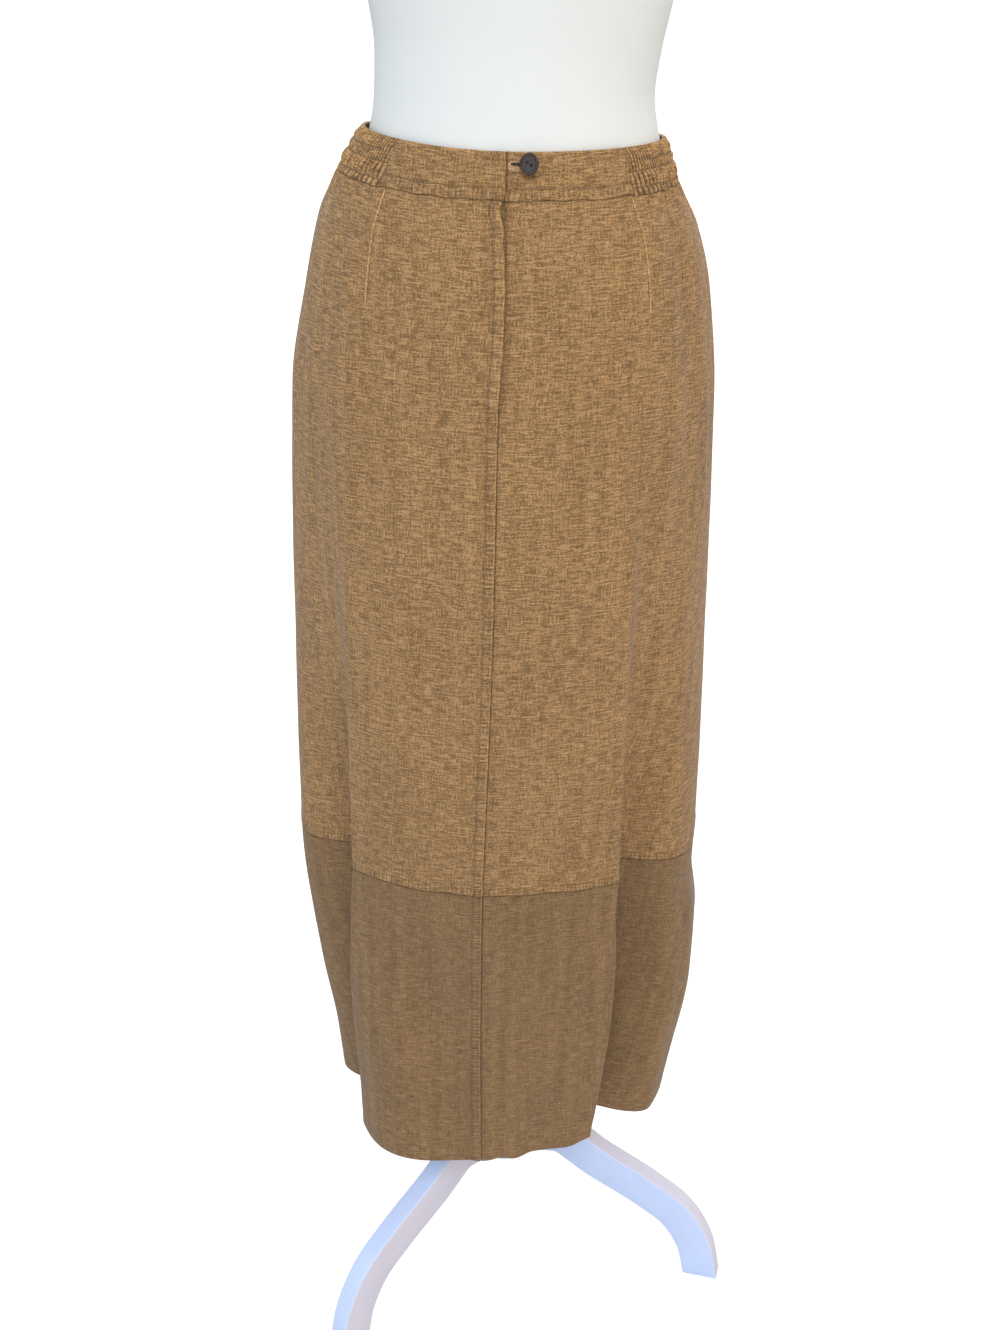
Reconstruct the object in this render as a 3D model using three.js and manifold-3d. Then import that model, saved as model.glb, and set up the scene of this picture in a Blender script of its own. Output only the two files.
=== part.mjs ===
// A linen maxi skirt that stands on a limbless dress form with a wooden tripod.
// Millimetres, Z up. The pole's axis is the middle of every table below, and the skirt's back faces -Y.
import * as THREE from 'three';
import { mergeVertices } from 'three/addons/utils/BufferGeometryUtils.js';
import Module from 'manifold-3d';

const wasm = await Module();
wasm.setup();

// Heights above the floor
const waistTop = 1246;
const waistSeam = 1208;
const lapEnd = 1045;
const hip = 1033;
const thigh = 860;
const lowerSeam = 569;
const calf = 408;
const hem = 243;

// Cloth
const clothWall = 1.4;
const bandWall = 2.2;
const seamGap = 0.3;
const lapWidth = 10;
const lapSlope = 2;
const lapClear = 0.5;
const lapFade = 9;
const zipUnderlap = 4;

// Where the flat waistband meets the elastic, in degrees round from the centre back
const flatBack = { left: -47, right: 43.5 };
const flatFront = { right: 136.5, left: 227 };

// The waist's top edge stands this much above its back at each side
const waistRise = { left: 10, right: 2, back: 0, front: 5 };

// Plain oval of the skirt: reach from the pole each way, and the turn of the centre back line
const profile = [
  { level: 1246, left: 137, right: 131, back: 108, front: 104, seam: -3.4 },
  { level: 1208, left: 157, right: 142, back: 117, front: 111, seam: -3.4 },
  { level: 1175, left: 174, right: 160, back: 130, front: 120, seam: -2.8 },
  { level: 1121, left: 188, right: 175, back: 146, front: 130, seam: -2.4 },
  { level: 1033, left: 205, right: 185, back: 160, front: 142, seam: -3.5 },
  { level: 860, left: 211, right: 190, back: 167, front: 150, seam: -4.0 },
  { level: 569, left: 215, right: 195, back: 162, front: 147, seam: -6.1 },
  { level: 533, left: 214, right: 194, back: 162, front: 147, seam: -6.3 },
  { level: 473, left: 208, right: 201, back: 159, front: 147, seam: -6.6 },
  { level: 408, left: 200, right: 200, back: 157, front: 147, seam: -6.9 },
  { level: 318, left: 187, right: 188, back: 158, front: 148, seam: -7.2 },
  { level: 243, left: 180, right: 177, back: 158, front: 149, seam: -7.3 },
];

// Folds that fall from the hip. at: the fold's middle, and half: half its width, in degrees of turn,
// at the lower seam and at the hem. near: the half towards the centre back, where it is steeper. out:
// how far it stands out, or in below zero, at the thigh, the lower seam, the calf and the hem
const folds = [
  { name: 'left valley', at: [-53, -62.5], half: [24, 28], near: [9, 10], out: [-9, -38, -44, -55] },
  { name: 'left crest', at: [-42, -36], half: [21, 30], out: [0, 0, 15, 23] },
  { name: 'back dip', at: [15, 14], half: [28, 28], out: [0, -6, -8, -14] },
  { name: 'right valley', at: [40.5, 40], half: [20, 24], near: [7, 8.5], out: [-11, -42, -58, -84] },
  { name: 'right crest', at: [67, 70], half: [14, 18], out: [0, 4, 4, 0] },
  { name: 'front right valley', at: [128, 124], half: [24, 22], out: [-3, -12, -22, -34] },
  { name: 'front crest', at: [176, 174], half: [30, 30], out: [0, 3, 6, 10] },
  { name: 'front left valley', at: [226, 232], half: [26, 24], out: [-2, -9, -18, -30] },
];
const foldLevels = [thigh, lowerSeam, calf, hem];

// Rows of the panels, close together round the end of the zip's lap
const backLevels = [
  waistSeam, 1196, 1178, 1146, 1112, 1078, 1056, 1046, 1036, 988, 928, 860, 788, 718, 643, lowerSeam,
];
const frontLevels = [waistSeam, 1175, 1133, 1088, 1033, 948, 860, 763, 666, lowerSeam];
const bandLevels = [lowerSeam, 533, 488, 438, 383, 323, 278, hem];
const waistLevels = [waistTop, 1233, 1220, waistSeam];
const columnTurn = 3.75;

// Elastic sides
const gatherPitch = 5.5;
const gatherCrest = 1.3;
const gatherValley = -0.5;

// Button, its tab and the zip
const button = {
  radius: 9,
  thick: 3,
  rim: 1.3,
  dish: 0.8,
  hole: 1.1,
  apart: 2.3,
  level: 1236,
  across: 9.7,
  tilt: 35,
};
const buttonRise = 7.4;
const shankRadius = 1.6;
const tab = { low: 1230.5, high: 1239, from: -7.4, to: 14, wall: 1.1 };
const zip = { tapeHalf: 12, tapeWall: 0.9, top: 1240, bottom: 1050, inside: 6 };
const slider = { width: 3, high: 7, thick: 1.5, level: 1203.8, proud: 0.35 };
const pull = { long: 7.4, high: 4, up: 3, thick: 0.8 };
const pullRaise = 1.1;
const pullSpread = 26;
const joinDepth = 0.05;

// Dress form: the torso's oval from the neck down to its underside
const torso = [
  { level: 1740, left: 54, right: 56, back: 50, front: 48 },
  { level: 1706, left: 57, right: 59, back: 52, front: 49 },
  { level: 1681, left: 72, right: 74, back: 58, front: 51 },
  { level: 1664, left: 112, right: 114, back: 67, front: 57 },
  { level: 1644, left: 156, right: 158, back: 79, front: 69 },
  { level: 1618, left: 170, right: 172, back: 91, front: 84 },
  { level: 1576, left: 163, right: 165, back: 101, front: 104 },
  { level: 1523, left: 152, right: 154, back: 106, front: 122 },
  { level: 1468, left: 145, right: 147, back: 105, front: 124 },
  { level: 1413, left: 137, right: 139, back: 102, front: 113 },
  { level: 1358, left: 128, right: 130, back: 99, front: 104 },
  { level: 1318, left: 123, right: 122, back: 98, front: 100 },
  { level: 1283, left: 124, right: 118, back: 99.5, front: 98.6 },
  { level: 1246, left: 130, right: 124, back: 103.6, front: 101.4 },
  { level: 1208, left: 141, right: 134, back: 109.5, front: 104.5 },
  { level: 1158, left: 158, right: 152, back: 120, front: 109.5 },
  { level: 1108, left: 170, right: 164, back: 129, front: 113 },
  { level: 1058, left: 172, right: 166, back: 129, front: 112 },
  { level: 1016, left: 159, right: 153, back: 119, front: 106 },
  { level: 1000, left: 142, right: 136, back: 106, front: 96 },
];
const torsoSides = 36;
const neckRound = 5;

// Stand
const poleRadius = 14;
const hubRadius = 23.2;
const hubLow = 124;
const hubHigh = 192;
const hubRound = 6;
const legThick = 22;
const legBevel = 1.5;
const legTurns = { left: -134.1, right: -14.1, back: 105.9 };
// The leg board's upper edge, from the hub out and down to the floor
const legEdge = [
  { out: 23.5, up: 178.6 },
  { out: 73, up: 183 },
  { out: 122, up: 153.5 },
  { out: 176, up: 124.5 },
  { out: 219, up: 94 },
  { out: 246, up: 51 },
  { out: 257.6, up: 0 },
];
const legWide = { hub: 43.6, foot: 38.3 };
const legSteps = 18;

// Finishes
const linen = new THREE.MeshStandardMaterial({ color: 0x9a7a56, roughness: 0.95, metalness: 0 });
const linenDark = new THREE.MeshStandardMaterial({ color: 0x88704f, roughness: 0.95, metalness: 0 });
const jersey = new THREE.MeshStandardMaterial({ color: 0xe5eaea, roughness: 0.8, metalness: 0 });
const paintedWood = new THREE.MeshStandardMaterial({ color: 0xdfe4ee, roughness: 0.45, metalness: 0 });
const horn = new THREE.MeshStandardMaterial({ color: 0x403231, roughness: 0.3, metalness: 0 });
const brass = new THREE.MeshStandardMaterial({ color: 0xb08d3c, roughness: 0.35, metalness: 1 });
const zipCloth = new THREE.MeshStandardMaterial({ color: 0x8a6b48, roughness: 0.9, metalness: 0 });

const radians = THREE.MathUtils.degToRad;
const lerp = THREE.MathUtils.lerp;
const smoothstep = THREE.MathUtils.smoothstep;

// Slope of a table's column at a row, chosen so that the curve never overshoots its rows
function columnSlope(rows, column, index) {
  const before = rows[index - 1];
  const here = rows[index];
  const after = rows[index + 1];
  if (!before) return (after[column] - here[column]) / (after.level - here.level);
  if (!after) return (here[column] - before[column]) / (here.level - before.level);
  const in1 = (here[column] - before[column]) / (here.level - before.level);
  const in2 = (after[column] - here[column]) / (after.level - here.level);
  return in1 * in2 <= 0 ? 0 : (2 * in1 * in2) / (in1 + in2);
}

// A column of a table at any level, as a smooth curve through its rows, which run from the top down
function readColumn(rows, column, level) {
  const at = THREE.MathUtils.clamp(level, rows[rows.length - 1].level, rows[0].level);
  const below = rows.findIndex((row) => row.level < at);
  const index = (below < 0 ? rows.length - 1 : below) - 1;
  const start = rows[index];
  const end = rows[index + 1];
  const span = end.level - start.level;
  const t = (at - start.level) / span;
  const startSlope = columnSlope(rows, column, index) * span;
  const endSlope = columnSlope(rows, column, index + 1) * span;
  const keepStart = 2 * t ** 3 - 3 * t ** 2 + 1;
  const keepEnd = 3 * t ** 2 - 2 * t ** 3;
  const bendStart = t ** 3 - 2 * t ** 2 + t;
  const bendEnd = t ** 3 - t ** 2;
  return keepStart * start[column] + keepEnd * end[column] + bendStart * startSlope + bendEnd * endSlope;
}

// The point of a table's oval at a turn, in degrees round from the centre back towards the right
function ovalPoint(rows, turn, level) {
  const across = Math.sin(radians(turn));
  const backward = Math.cos(radians(turn));
  const reachAcross = readColumn(rows, across < 0 ? 'left' : 'right', level);
  const reachBack = readColumn(rows, backward > 0 ? 'back' : 'front', level);
  const point = new THREE.Vector2(reachAcross * across, -reachBack * backward);
  const normal = new THREE.Vector2(across / reachAcross, -backward / reachBack).normalize();
  return { point, normal };
}

// Each fold as a small table of its own, which starts from nothing at the hip
const foldReaches = folds.map((fold) => [
  { level: hip, out: 0 },
  ...foldLevels.map((level, index) => ({ level, out: fold.out[index] })),
]);

// A soft hump of height 1 over -1 to 1
function hump(position) {
  return Math.abs(position) < 1 ? 0.5 + 0.5 * Math.cos(Math.PI * position) : 0;
}

// How far the folds carry the cloth out of the plain oval
function foldReach(turn, level) {
  const drop = THREE.MathUtils.clamp((lowerSeam - level) / (lowerSeam - hem), 0, 1);
  let reach = 0;
  folds.forEach((fold, index) => {
    const middle = lerp(fold.at[0], fold.at[1], drop);
    const away = THREE.MathUtils.euclideanModulo(turn - middle + 180, 360) - 180;
    const side = fold.near && away * middle < 0 ? fold.near : fold.half;
    const half = lerp(side[0], side[1], drop);
    reach += readColumn(foldReaches[index], 'out', level) * hump(away / half);
  });
  return reach;
}

// The waist is worn a little higher at the left; the lift fades out at the hip
function waistLift(turn, level) {
  const across = Math.sin(radians(turn));
  const backward = Math.cos(radians(turn));
  const side = across < 0 ? waistRise.left : waistRise.right;
  const middle = backward > 0 ? waistRise.back : waistRise.front;
  return (side * across ** 2 + middle * backward ** 2) * smoothstep(level, hip, waistSeam);
}

function surfacePoint(turn, level) {
  const { point, normal } = ovalPoint(profile, turn, level);
  point.addScaledVector(normal, foldReach(turn, level));
  return new THREE.Vector3(point.x, point.y, level + waistLift(turn, level));
}

// A point of the skirt moved out of its surface, or into it below zero
function clothPoint(turn, level, out) {
  const step = 0.25;
  const point = surfacePoint(turn, level);
  const round = surfacePoint(turn + step, level).sub(surfacePoint(turn - step, level));
  const rise = surfacePoint(turn, level + step * 4).sub(surfacePoint(turn, level - step * 4));
  return point.addScaledVector(round.cross(rise).normalize(), out);
}

// Degrees of turn that cover a length of cloth at the centre back line
function turnOf(length, level) {
  const turn = readColumn(profile, 'seam', level);
  return length / surfacePoint(turn + 0.5, level).distanceTo(surfacePoint(turn - 0.5, level));
}

function centreTurn(level) {
  return readColumn(profile, 'seam', level);
}

// A closed solid between an outer and an inner sheet of points, both rows of equal length
function sheetSolid(outer, inner) {
  const rows = outer.length;
  const columns = outer[0].length;
  const positions = [...outer.flat(), ...inner.flat()].flatMap((point) => point.toArray());
  const outerAt = (row, column) => row * columns + column;
  const innerAt = (row, column) => rows * columns + row * columns + column;
  const faces = [];
  const quad = (a, b, c, d) => faces.push(a, b, c, a, c, d);
  for (let row = 0; row < rows - 1; row += 1) {
    for (let column = 0; column < columns - 1; column += 1) {
      const next = column + 1;
      quad(outerAt(row, column), outerAt(row + 1, column), outerAt(row + 1, next), outerAt(row, next));
      quad(innerAt(row, column), innerAt(row, next), innerAt(row + 1, next), innerAt(row + 1, column));
    }
    const last = columns - 1;
    quad(outerAt(row, 0), innerAt(row, 0), innerAt(row + 1, 0), outerAt(row + 1, 0));
    quad(outerAt(row, last), outerAt(row + 1, last), innerAt(row + 1, last), innerAt(row, last));
  }
  for (let column = 0; column < columns - 1; column += 1) {
    const last = rows - 1;
    quad(outerAt(0, column), outerAt(0, column + 1), innerAt(0, column + 1), innerAt(0, column));
    quad(outerAt(last, column), innerAt(last, column), innerAt(last, column + 1), outerAt(last, column + 1));
  }
  return indexedGeometry(positions, faces);
}

function indexedGeometry(positions, faces) {
  const geometry = new THREE.BufferGeometry();
  geometry.setAttribute('position', new THREE.Float32BufferAttribute(positions, 3));
  geometry.setIndex(faces);
  geometry.computeVertexNormals();
  return geometry;
}

// A cloth wall: turnsAt gives each row's columns, raise how far the wall is moved out at a point
function clothWallPiece({ levels, turnsAt, wall, raise = () => 0 }) {
  const sheet = (depth) => levels.map((level) => turnsAt(level).map((turn) => (
    clothPoint(turn, level, raise(turn, level) - depth))));
  return sheetSolid(sheet(0), sheet(wall));
}

// Levels with the first and last row drawn in by half the gap that a seam keeps
function seamed(levels, { top = true, bottom = true } = {}) {
  const rows = [...levels];
  if (top) rows[0] -= seamGap / 2;
  if (bottom) rows[rows.length - 1] += seamGap / 2;
  return rows;
}

function spread(start, end, count) {
  return Array.from({ length: count + 1 }, (_, index) => lerp(start, end, index / count));
}

// Columns between two edges, each edge drawn in by half the gap of a seam
function columnsBetween(start, end, level) {
  const gap = turnOf(seamGap / 2, level);
  return spread(start + gap, end - gap, Math.round(Math.abs(end - start) / columnTurn));
}

// How much of the lap stands at a level: none below the zip, all of it above
function lapShare(level) {
  return smoothstep(level, lapEnd - lapFade, lapEnd);
}

// The left back piece's free edge rises over the zip and the right piece's edge,
// and a little more over the slider's pull
function lapRaise(wall) {
  return (turn, level) => {
    const inside = (centreTurn(level) - turn) / turnOf(1, level);
    const overZip = 1 - smoothstep(inside, lapWidth - lapSlope, lapWidth);
    const overPull = pullRaise * hump((level - slider.level) / pullSpread);
    return lapShare(level) * overZip * (wall + lapClear + overPull);
  };
}

// Columns of the left back pieces, with the lap's own narrow columns at the free edge
function leftBackTurns(level, start) {
  const edge = centreTurn(level) - turnOf(seamGap / 2, level);
  const lapTurns = [lapWidth, lapWidth - lapSlope, lapWidth / 2, 0]
    .map((inside) => edge - turnOf(inside, level));
  const count = Math.round((centreTurn(waistSeam) - start) / columnTurn);
  return [...spread(start + turnOf(seamGap / 2, level), lapTurns[0], count - 1), ...lapTurns.slice(1)];
}

// Columns of the right back pieces, which run a little way under the lap
function rightBackTurns(level, end) {
  const under = zipUnderlap * smoothstep(level, lapEnd + 1, lapEnd + 1 + lapFade);
  const edge = centreTurn(level) + turnOf(seamGap / 2 - under, level);
  const count = Math.round((end - centreTurn(waistSeam)) / columnTurn);
  return spread(edge, end - turnOf(seamGap / 2, level), count);
}

function backLeft() {
  const turnsAt = (level) => leftBackTurns(level, -90);
  return clothWallPiece({ levels: seamed(backLevels), turnsAt, wall: clothWall, raise: lapRaise(clothWall) });
}

function backRight() {
  const turnsAt = (level) => rightBackTurns(level, 90);
  return clothWallPiece({ levels: seamed(backLevels), turnsAt, wall: clothWall });
}

function front() {
  const turnsAt = (level) => columnsBetween(90, 270, level);
  return clothWallPiece({ levels: seamed(frontLevels), turnsAt, wall: clothWall });
}

function lowerBand(startAt, endAt) {
  const turnsAt = (level) => {
    const gap = turnOf(seamGap / 2, level);
    const count = Math.round((endAt(hem) - startAt(hem)) / columnTurn);
    return spread(startAt(level) + gap, endAt(level) - gap, count);
  };
  return clothWallPiece({ levels: seamed(bandLevels, { bottom: false }), turnsAt, wall: clothWall });
}

function waistbandBackLeft() {
  const turnsAt = (level) => leftBackTurns(level, flatBack.left);
  const levels = seamed(waistLevels, { top: false });
  return clothWallPiece({ levels, turnsAt, wall: bandWall, raise: lapRaise(bandWall) });
}

function waistbandBackRight() {
  const turnsAt = (level) => rightBackTurns(level, flatBack.right);
  return clothWallPiece({ levels: seamed(waistLevels, { top: false }), turnsAt, wall: bandWall });
}

function waistbandFront() {
  const turnsAt = (level) => columnsBetween(flatFront.right, flatFront.left, level);
  return clothWallPiece({ levels: seamed(waistLevels, { top: false }), turnsAt, wall: bandWall });
}

// Elastic side: crests and valleys on the outer points over a plain inside
function elasticSide(start, end) {
  const levels = seamed(waistLevels, { top: false });
  const middle = (start + end) / 2;
  const length = clothPoint(start, waistSeam, 0).distanceTo(clothPoint(middle, waistSeam, 0))
    + clothPoint(middle, waistSeam, 0).distanceTo(clothPoint(end, waistSeam, 0));
  const count = 2 * Math.round(length / gatherPitch);
  const turnsAt = (level) => {
    const gap = turnOf(seamGap / 2, level);
    return spread(start + gap, end - gap, count);
  };
  const gather = (column) => {
    if (column === 0 || column === count) return 0;
    const uneven = 0.8 + 0.2 * Math.sin(column * 1.7);
    return (column % 2 ? gatherCrest : gatherValley) * uneven;
  };
  const sheet = (out) => levels.map((level) => (
    turnsAt(level).map((turn, column) => clothPoint(turn, level, out(column)))));
  return sheetSolid(sheet(gather), sheet(() => -bandWall));
}

// The zip's tape lies behind both back panels
function zipTape() {
  const levels = [zip.top, 1220, ...backLevels.filter((level) => level > zip.bottom), zip.bottom];
  const turnsAt = (level) => spread(
    centreTurn(level) - turnOf(zip.inside + zip.tapeHalf, level),
    centreTurn(level) - turnOf(zip.inside - zip.tapeHalf, level),
    4,
  );
  const depth = (level) => (level > waistSeam - 6 ? bandWall : clothWall) + seamGap;
  const sheet = (more) => levels.map((level) => turnsAt(level).map((turn) => (
    clothPoint(turn, level, -depth(level) - more))));
  return sheetSolid(sheet(0), sheet(zip.tapeWall));
}

// Places a geometry, drawn with X across, Y up and Z outwards, on the cloth at a turn and level
function seatOnCloth(geometry, turn, level, out, spin = 0) {
  const point = clothPoint(turn, level, out);
  const outwards = clothPoint(turn, level, out + 1).sub(point).normalize();
  const across = new THREE.Vector3(0, 0, 1).cross(outwards).normalize();
  const up = outwards.clone().cross(across);
  const place = new THREE.Matrix4().makeBasis(across, up, outwards).setPosition(point);
  place.multiply(new THREE.Matrix4().makeRotationY(radians(spin)));
  geometry.applyMatrix4(place);
  return geometry;
}

function toManifold(geometry) {
  const bare = geometry.clone();
  bare.deleteAttribute('normal');
  bare.deleteAttribute('uv');
  const merged = mergeVertices(bare, 1e-4);
  const mesh = new wasm.Mesh({
    numProp: 3,
    vertProperties: merged.attributes.position.array,
    triVerts: new Uint32Array(merged.index.array),
  });
  return new wasm.Manifold(mesh);
}

function fromManifold(solid) {
  const mesh = solid.getMesh();
  return indexedGeometry([...mesh.vertProperties], [...mesh.triVerts]);
}

// The zip's slider: a small body in the channel under the lap, with its pull lying to the right
function zipSlider() {
  const body = new THREE.BoxGeometry(slider.width, slider.high, slider.thick);
  const tag = new THREE.BoxGeometry(pull.long, pull.high, pull.thick);
  tag.translate((pull.long - slider.width) / 2, pull.up, (slider.thick + pull.thick) / 2 - joinDepth);
  const joined = fromManifold(toManifold(body).add(toManifold(tag)));
  const turn = centreTurn(slider.level) - turnOf(zip.inside, slider.level);
  return seatOnCloth(joined, turn, slider.level, slider.proud - slider.thick / 2);
}

// The turn at which the waistband lies at a distance across from the pole
function turnAcross(across, level) {
  const reach = readColumn(profile, across < 0 ? 'left' : 'right', level);
  return THREE.MathUtils.radToDeg(Math.asin(across / reach));
}

function buttonTab() {
  const levels = [tab.high, tab.low];
  const turnsAt = (level) => spread(turnAcross(tab.from, level), turnAcross(tab.to, level), 4);
  const sheet = (out) => levels.map((level) => turnsAt(level).map((turn) => clothPoint(turn, level, out)));
  return sheetSolid(sheet(seamGap + tab.wall), sheet(seamGap));
}

// A round button with a raised rim, two holes and a sewn shank behind it
function buttonSolid() {
  const { radius, thick, rim, dish, hole, apart } = button;
  const top = thick / 2;
  const outline = [
    [0, -top],
    [radius - rim, -top],
    [radius - 0.3, 0.8 - top],
    [radius, 0.2],
    [radius - 0.3, top - 0.3],
    [radius - rim / 2, top],
    [radius - rim, top - 0.3],
    [radius - rim - 1, top - dish],
    [0, top - dish],
  ].map(([out, up]) => new THREE.Vector2(out, up));
  const disc = new THREE.LatheGeometry(outline, 24).rotateX(Math.PI / 2);
  let solid = toManifold(disc);
  for (const side of [-1, 1]) {
    const drill = new THREE.CylinderGeometry(hole, hole, thick * 2, 10).rotateX(Math.PI / 2);
    drill.translate(side * apart * 0.85, -side * apart * 0.5, 0);
    solid = solid.subtract(toManifold(drill));
  }
  return fromManifold(solid);
}

// The shank stands straight out of the band, so it leans against the tilted disc
function buttonPiece() {
  const turn = turnAcross(button.across, button.level);
  const disc = seatOnCloth(buttonSolid(), turn, button.level, buttonRise, -button.tilt);
  const low = seamGap * 2 + tab.wall;
  const high = buttonRise - button.thick / 4;
  const post = new THREE.CylinderGeometry(shankRadius, shankRadius, high - low, 10).rotateX(Math.PI / 2);
  const shank = seatOnCloth(post, turn, button.level, (low + high) / 2);
  return fromManifold(toManifold(disc).add(toManifold(shank)));
}

// A closed solid through rings of equal length, from the bottom up
function ringSolid(rings) {
  const sides = rings[0].length;
  const centreOf = (ring) => {
    const sum = ring.reduce((total, point) => total.add(point), new THREE.Vector3());
    return sum.divideScalar(sides);
  };
  const points = [...rings.flat(), centreOf(rings[0]), centreOf(rings[rings.length - 1])];
  const lowCentre = rings.length * sides;
  const faces = [];
  for (let side = 0; side < sides; side += 1) {
    const next = (side + 1) % sides;
    for (let ring = 0; ring < rings.length - 1; ring += 1) {
      const low = ring * sides;
      const high = low + sides;
      faces.push(low + side, low + next, high + next, low + side, high + next, high + side);
    }
    const top = (rings.length - 1) * sides;
    faces.push(lowCentre, next, side, lowCentre + 1, top + side, top + next);
  }
  return indexedGeometry(points.flatMap((point) => point.toArray()), faces);
}

function torsoRing(level, drawn = 0) {
  return spread(0, 360, torsoSides).slice(0, torsoSides).map((turn) => {
    const { point, normal } = ovalPoint(torso, turn, level);
    point.addScaledVector(normal, -drawn);
    return new THREE.Vector3(point.x, point.y, level);
  });
}

function formTorso() {
  const top = torso[0].level;
  const rings = torso.slice(1).reverse().map((row) => torsoRing(row.level));
  rings.push(torsoRing(top - neckRound));
  rings.push(torsoRing(top - neckRound * 0.3, neckRound * 0.3));
  rings.push(torsoRing(top, neckRound));
  return ringSolid(rings);
}

function pole() {
  const underside = torso[torso.length - 1].level;
  const length = underside - hubHigh - 2 * seamGap;
  const geometry = new THREE.CylinderGeometry(poleRadius, poleRadius, length, 20).rotateX(Math.PI / 2);
  return geometry.translate(0, 0, (underside + hubHigh) / 2);
}

function hub() {
  const outline = [
    [0, hubLow],
    [hubRadius - hubRound, hubLow],
    [hubRadius, hubLow + hubRound],
    [hubRadius, hubHigh - hubRound],
    [hubRadius - hubRound, hubHigh],
    [0, hubHigh],
  ].map(([out, up]) => new THREE.Vector2(out, up));
  return new THREE.LatheGeometry(outline, 24).rotateX(Math.PI / 2);
}

// One leg board, drawn with X out from the hub and Y up
function legOutline() {
  const curve = new THREE.SplineCurve(legEdge.map(({ out, up }) => new THREE.Vector2(out, up)));
  const edge = curve.getPoints(legSteps);
  const under = edge.map((point, index) => {
    const along = curve.getTangent(index / legSteps);
    const wide = lerp(legWide.hub, legWide.foot, index / legSteps);
    return new THREE.Vector2(point.x + along.y * wide, point.y - along.x * wide);
  });
  under[0].x = edge[0].x;
  under[legSteps].y = 0;
  return new THREE.Shape([...edge, ...under.reverse()]);
}

function leg() {
  const geometry = new THREE.ExtrudeGeometry(legOutline(), {
    depth: legThick - 2 * legBevel,
    bevelSize: legBevel,
    bevelThickness: legBevel,
    bevelOffset: -legBevel,
    bevelSegments: 1,
  });
  geometry.translate(0, 0, legBevel - legThick / 2);
  return geometry.rotateX(Math.PI / 2);
}

function piece(name, geometry, material) {
  const mesh = new THREE.Mesh(geometry, material);
  mesh.name = name;
  return mesh;
}

function skirt() {
  const group = new THREE.Group();
  group.add(
    piece('back_left', backLeft(), linen),
    piece('back_right', backRight(), linen),
    piece('front', front(), linen),
    piece('lower_band_back_left', lowerBand(() => -90, centreTurn), linenDark),
    piece('lower_band_back_right', lowerBand(centreTurn, () => 90), linenDark),
    piece('lower_band_front', lowerBand(() => 90, () => 270), linenDark),
    piece('waistband_back_left', waistbandBackLeft(), linen),
    piece('waistband_back_right', waistbandBackRight(), linen),
    piece('waistband_front', waistbandFront(), linen),
    piece('elastic_right', elasticSide(flatBack.right, flatFront.right), linen),
    piece('elastic_left', elasticSide(flatFront.left - 360, flatBack.left), linen),
    piece('zip_tape', zipTape(), zipCloth),
    piece('zip_slider', zipSlider(), brass),
    piece('button_tab', buttonTab(), linen),
    piece('button', buttonPiece(), horn),
  );
  return group;
}

function dressForm() {
  const group = new THREE.Group();
  group.add(piece('form_torso', formTorso(), jersey));
  group.add(piece('pole', pole(), paintedWood));
  group.add(piece('tripod_hub', hub(), paintedWood));
  for (const [side, turn] of Object.entries(legTurns)) {
    const board = piece(`tripod_leg_${side}`, leg(), paintedWood);
    board.rotation.z = radians(turn);
    group.add(board);
  }
  return group;
}

// The finished part stands on the floor with the middle of its outline over the origin
const part = new THREE.Group();
part.add(skirt(), dressForm());
part.updateMatrixWorld(true);
const box = new THREE.Box3().setFromObject(part, true);
part.position.set(-(box.min.x + box.max.x) / 2, -(box.min.y + box.max.y) / 2, -box.min.z);

export default part;
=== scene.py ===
"""A linen maxi skirt on a limbless dress form with a wooden tripod.

Every size below is in millimetres, apart from the studio's, and every turn in
degrees round from the centre back, positive towards the wearer's right, about
the stand's pole. The meshes are made in metres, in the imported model's frame.
"""
import logging
import math
from dataclasses import dataclass, field
from enum import Enum
from typing import Callable, NamedTuple, Sequence

import bpy
import numpy as np
from mathutils import Matrix, Vector

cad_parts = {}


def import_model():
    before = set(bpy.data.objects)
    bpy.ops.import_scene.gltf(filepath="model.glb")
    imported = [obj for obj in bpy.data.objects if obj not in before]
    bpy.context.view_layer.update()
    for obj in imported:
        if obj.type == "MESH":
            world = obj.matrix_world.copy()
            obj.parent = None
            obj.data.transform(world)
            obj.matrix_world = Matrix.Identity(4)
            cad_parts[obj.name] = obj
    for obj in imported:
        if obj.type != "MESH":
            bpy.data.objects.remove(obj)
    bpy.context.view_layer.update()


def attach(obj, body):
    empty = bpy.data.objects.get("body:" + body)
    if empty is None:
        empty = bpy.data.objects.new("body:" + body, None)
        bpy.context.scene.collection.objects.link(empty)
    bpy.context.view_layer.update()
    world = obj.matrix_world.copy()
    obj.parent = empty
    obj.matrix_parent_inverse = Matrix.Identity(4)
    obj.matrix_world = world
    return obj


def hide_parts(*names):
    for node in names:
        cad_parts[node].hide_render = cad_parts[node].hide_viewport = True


log = logging.getLogger("skirt")

Triple = tuple[float, float, float]

MM = 0.001
SHIFT = np.array([-18.577, -29.373, 0.0])

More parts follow.
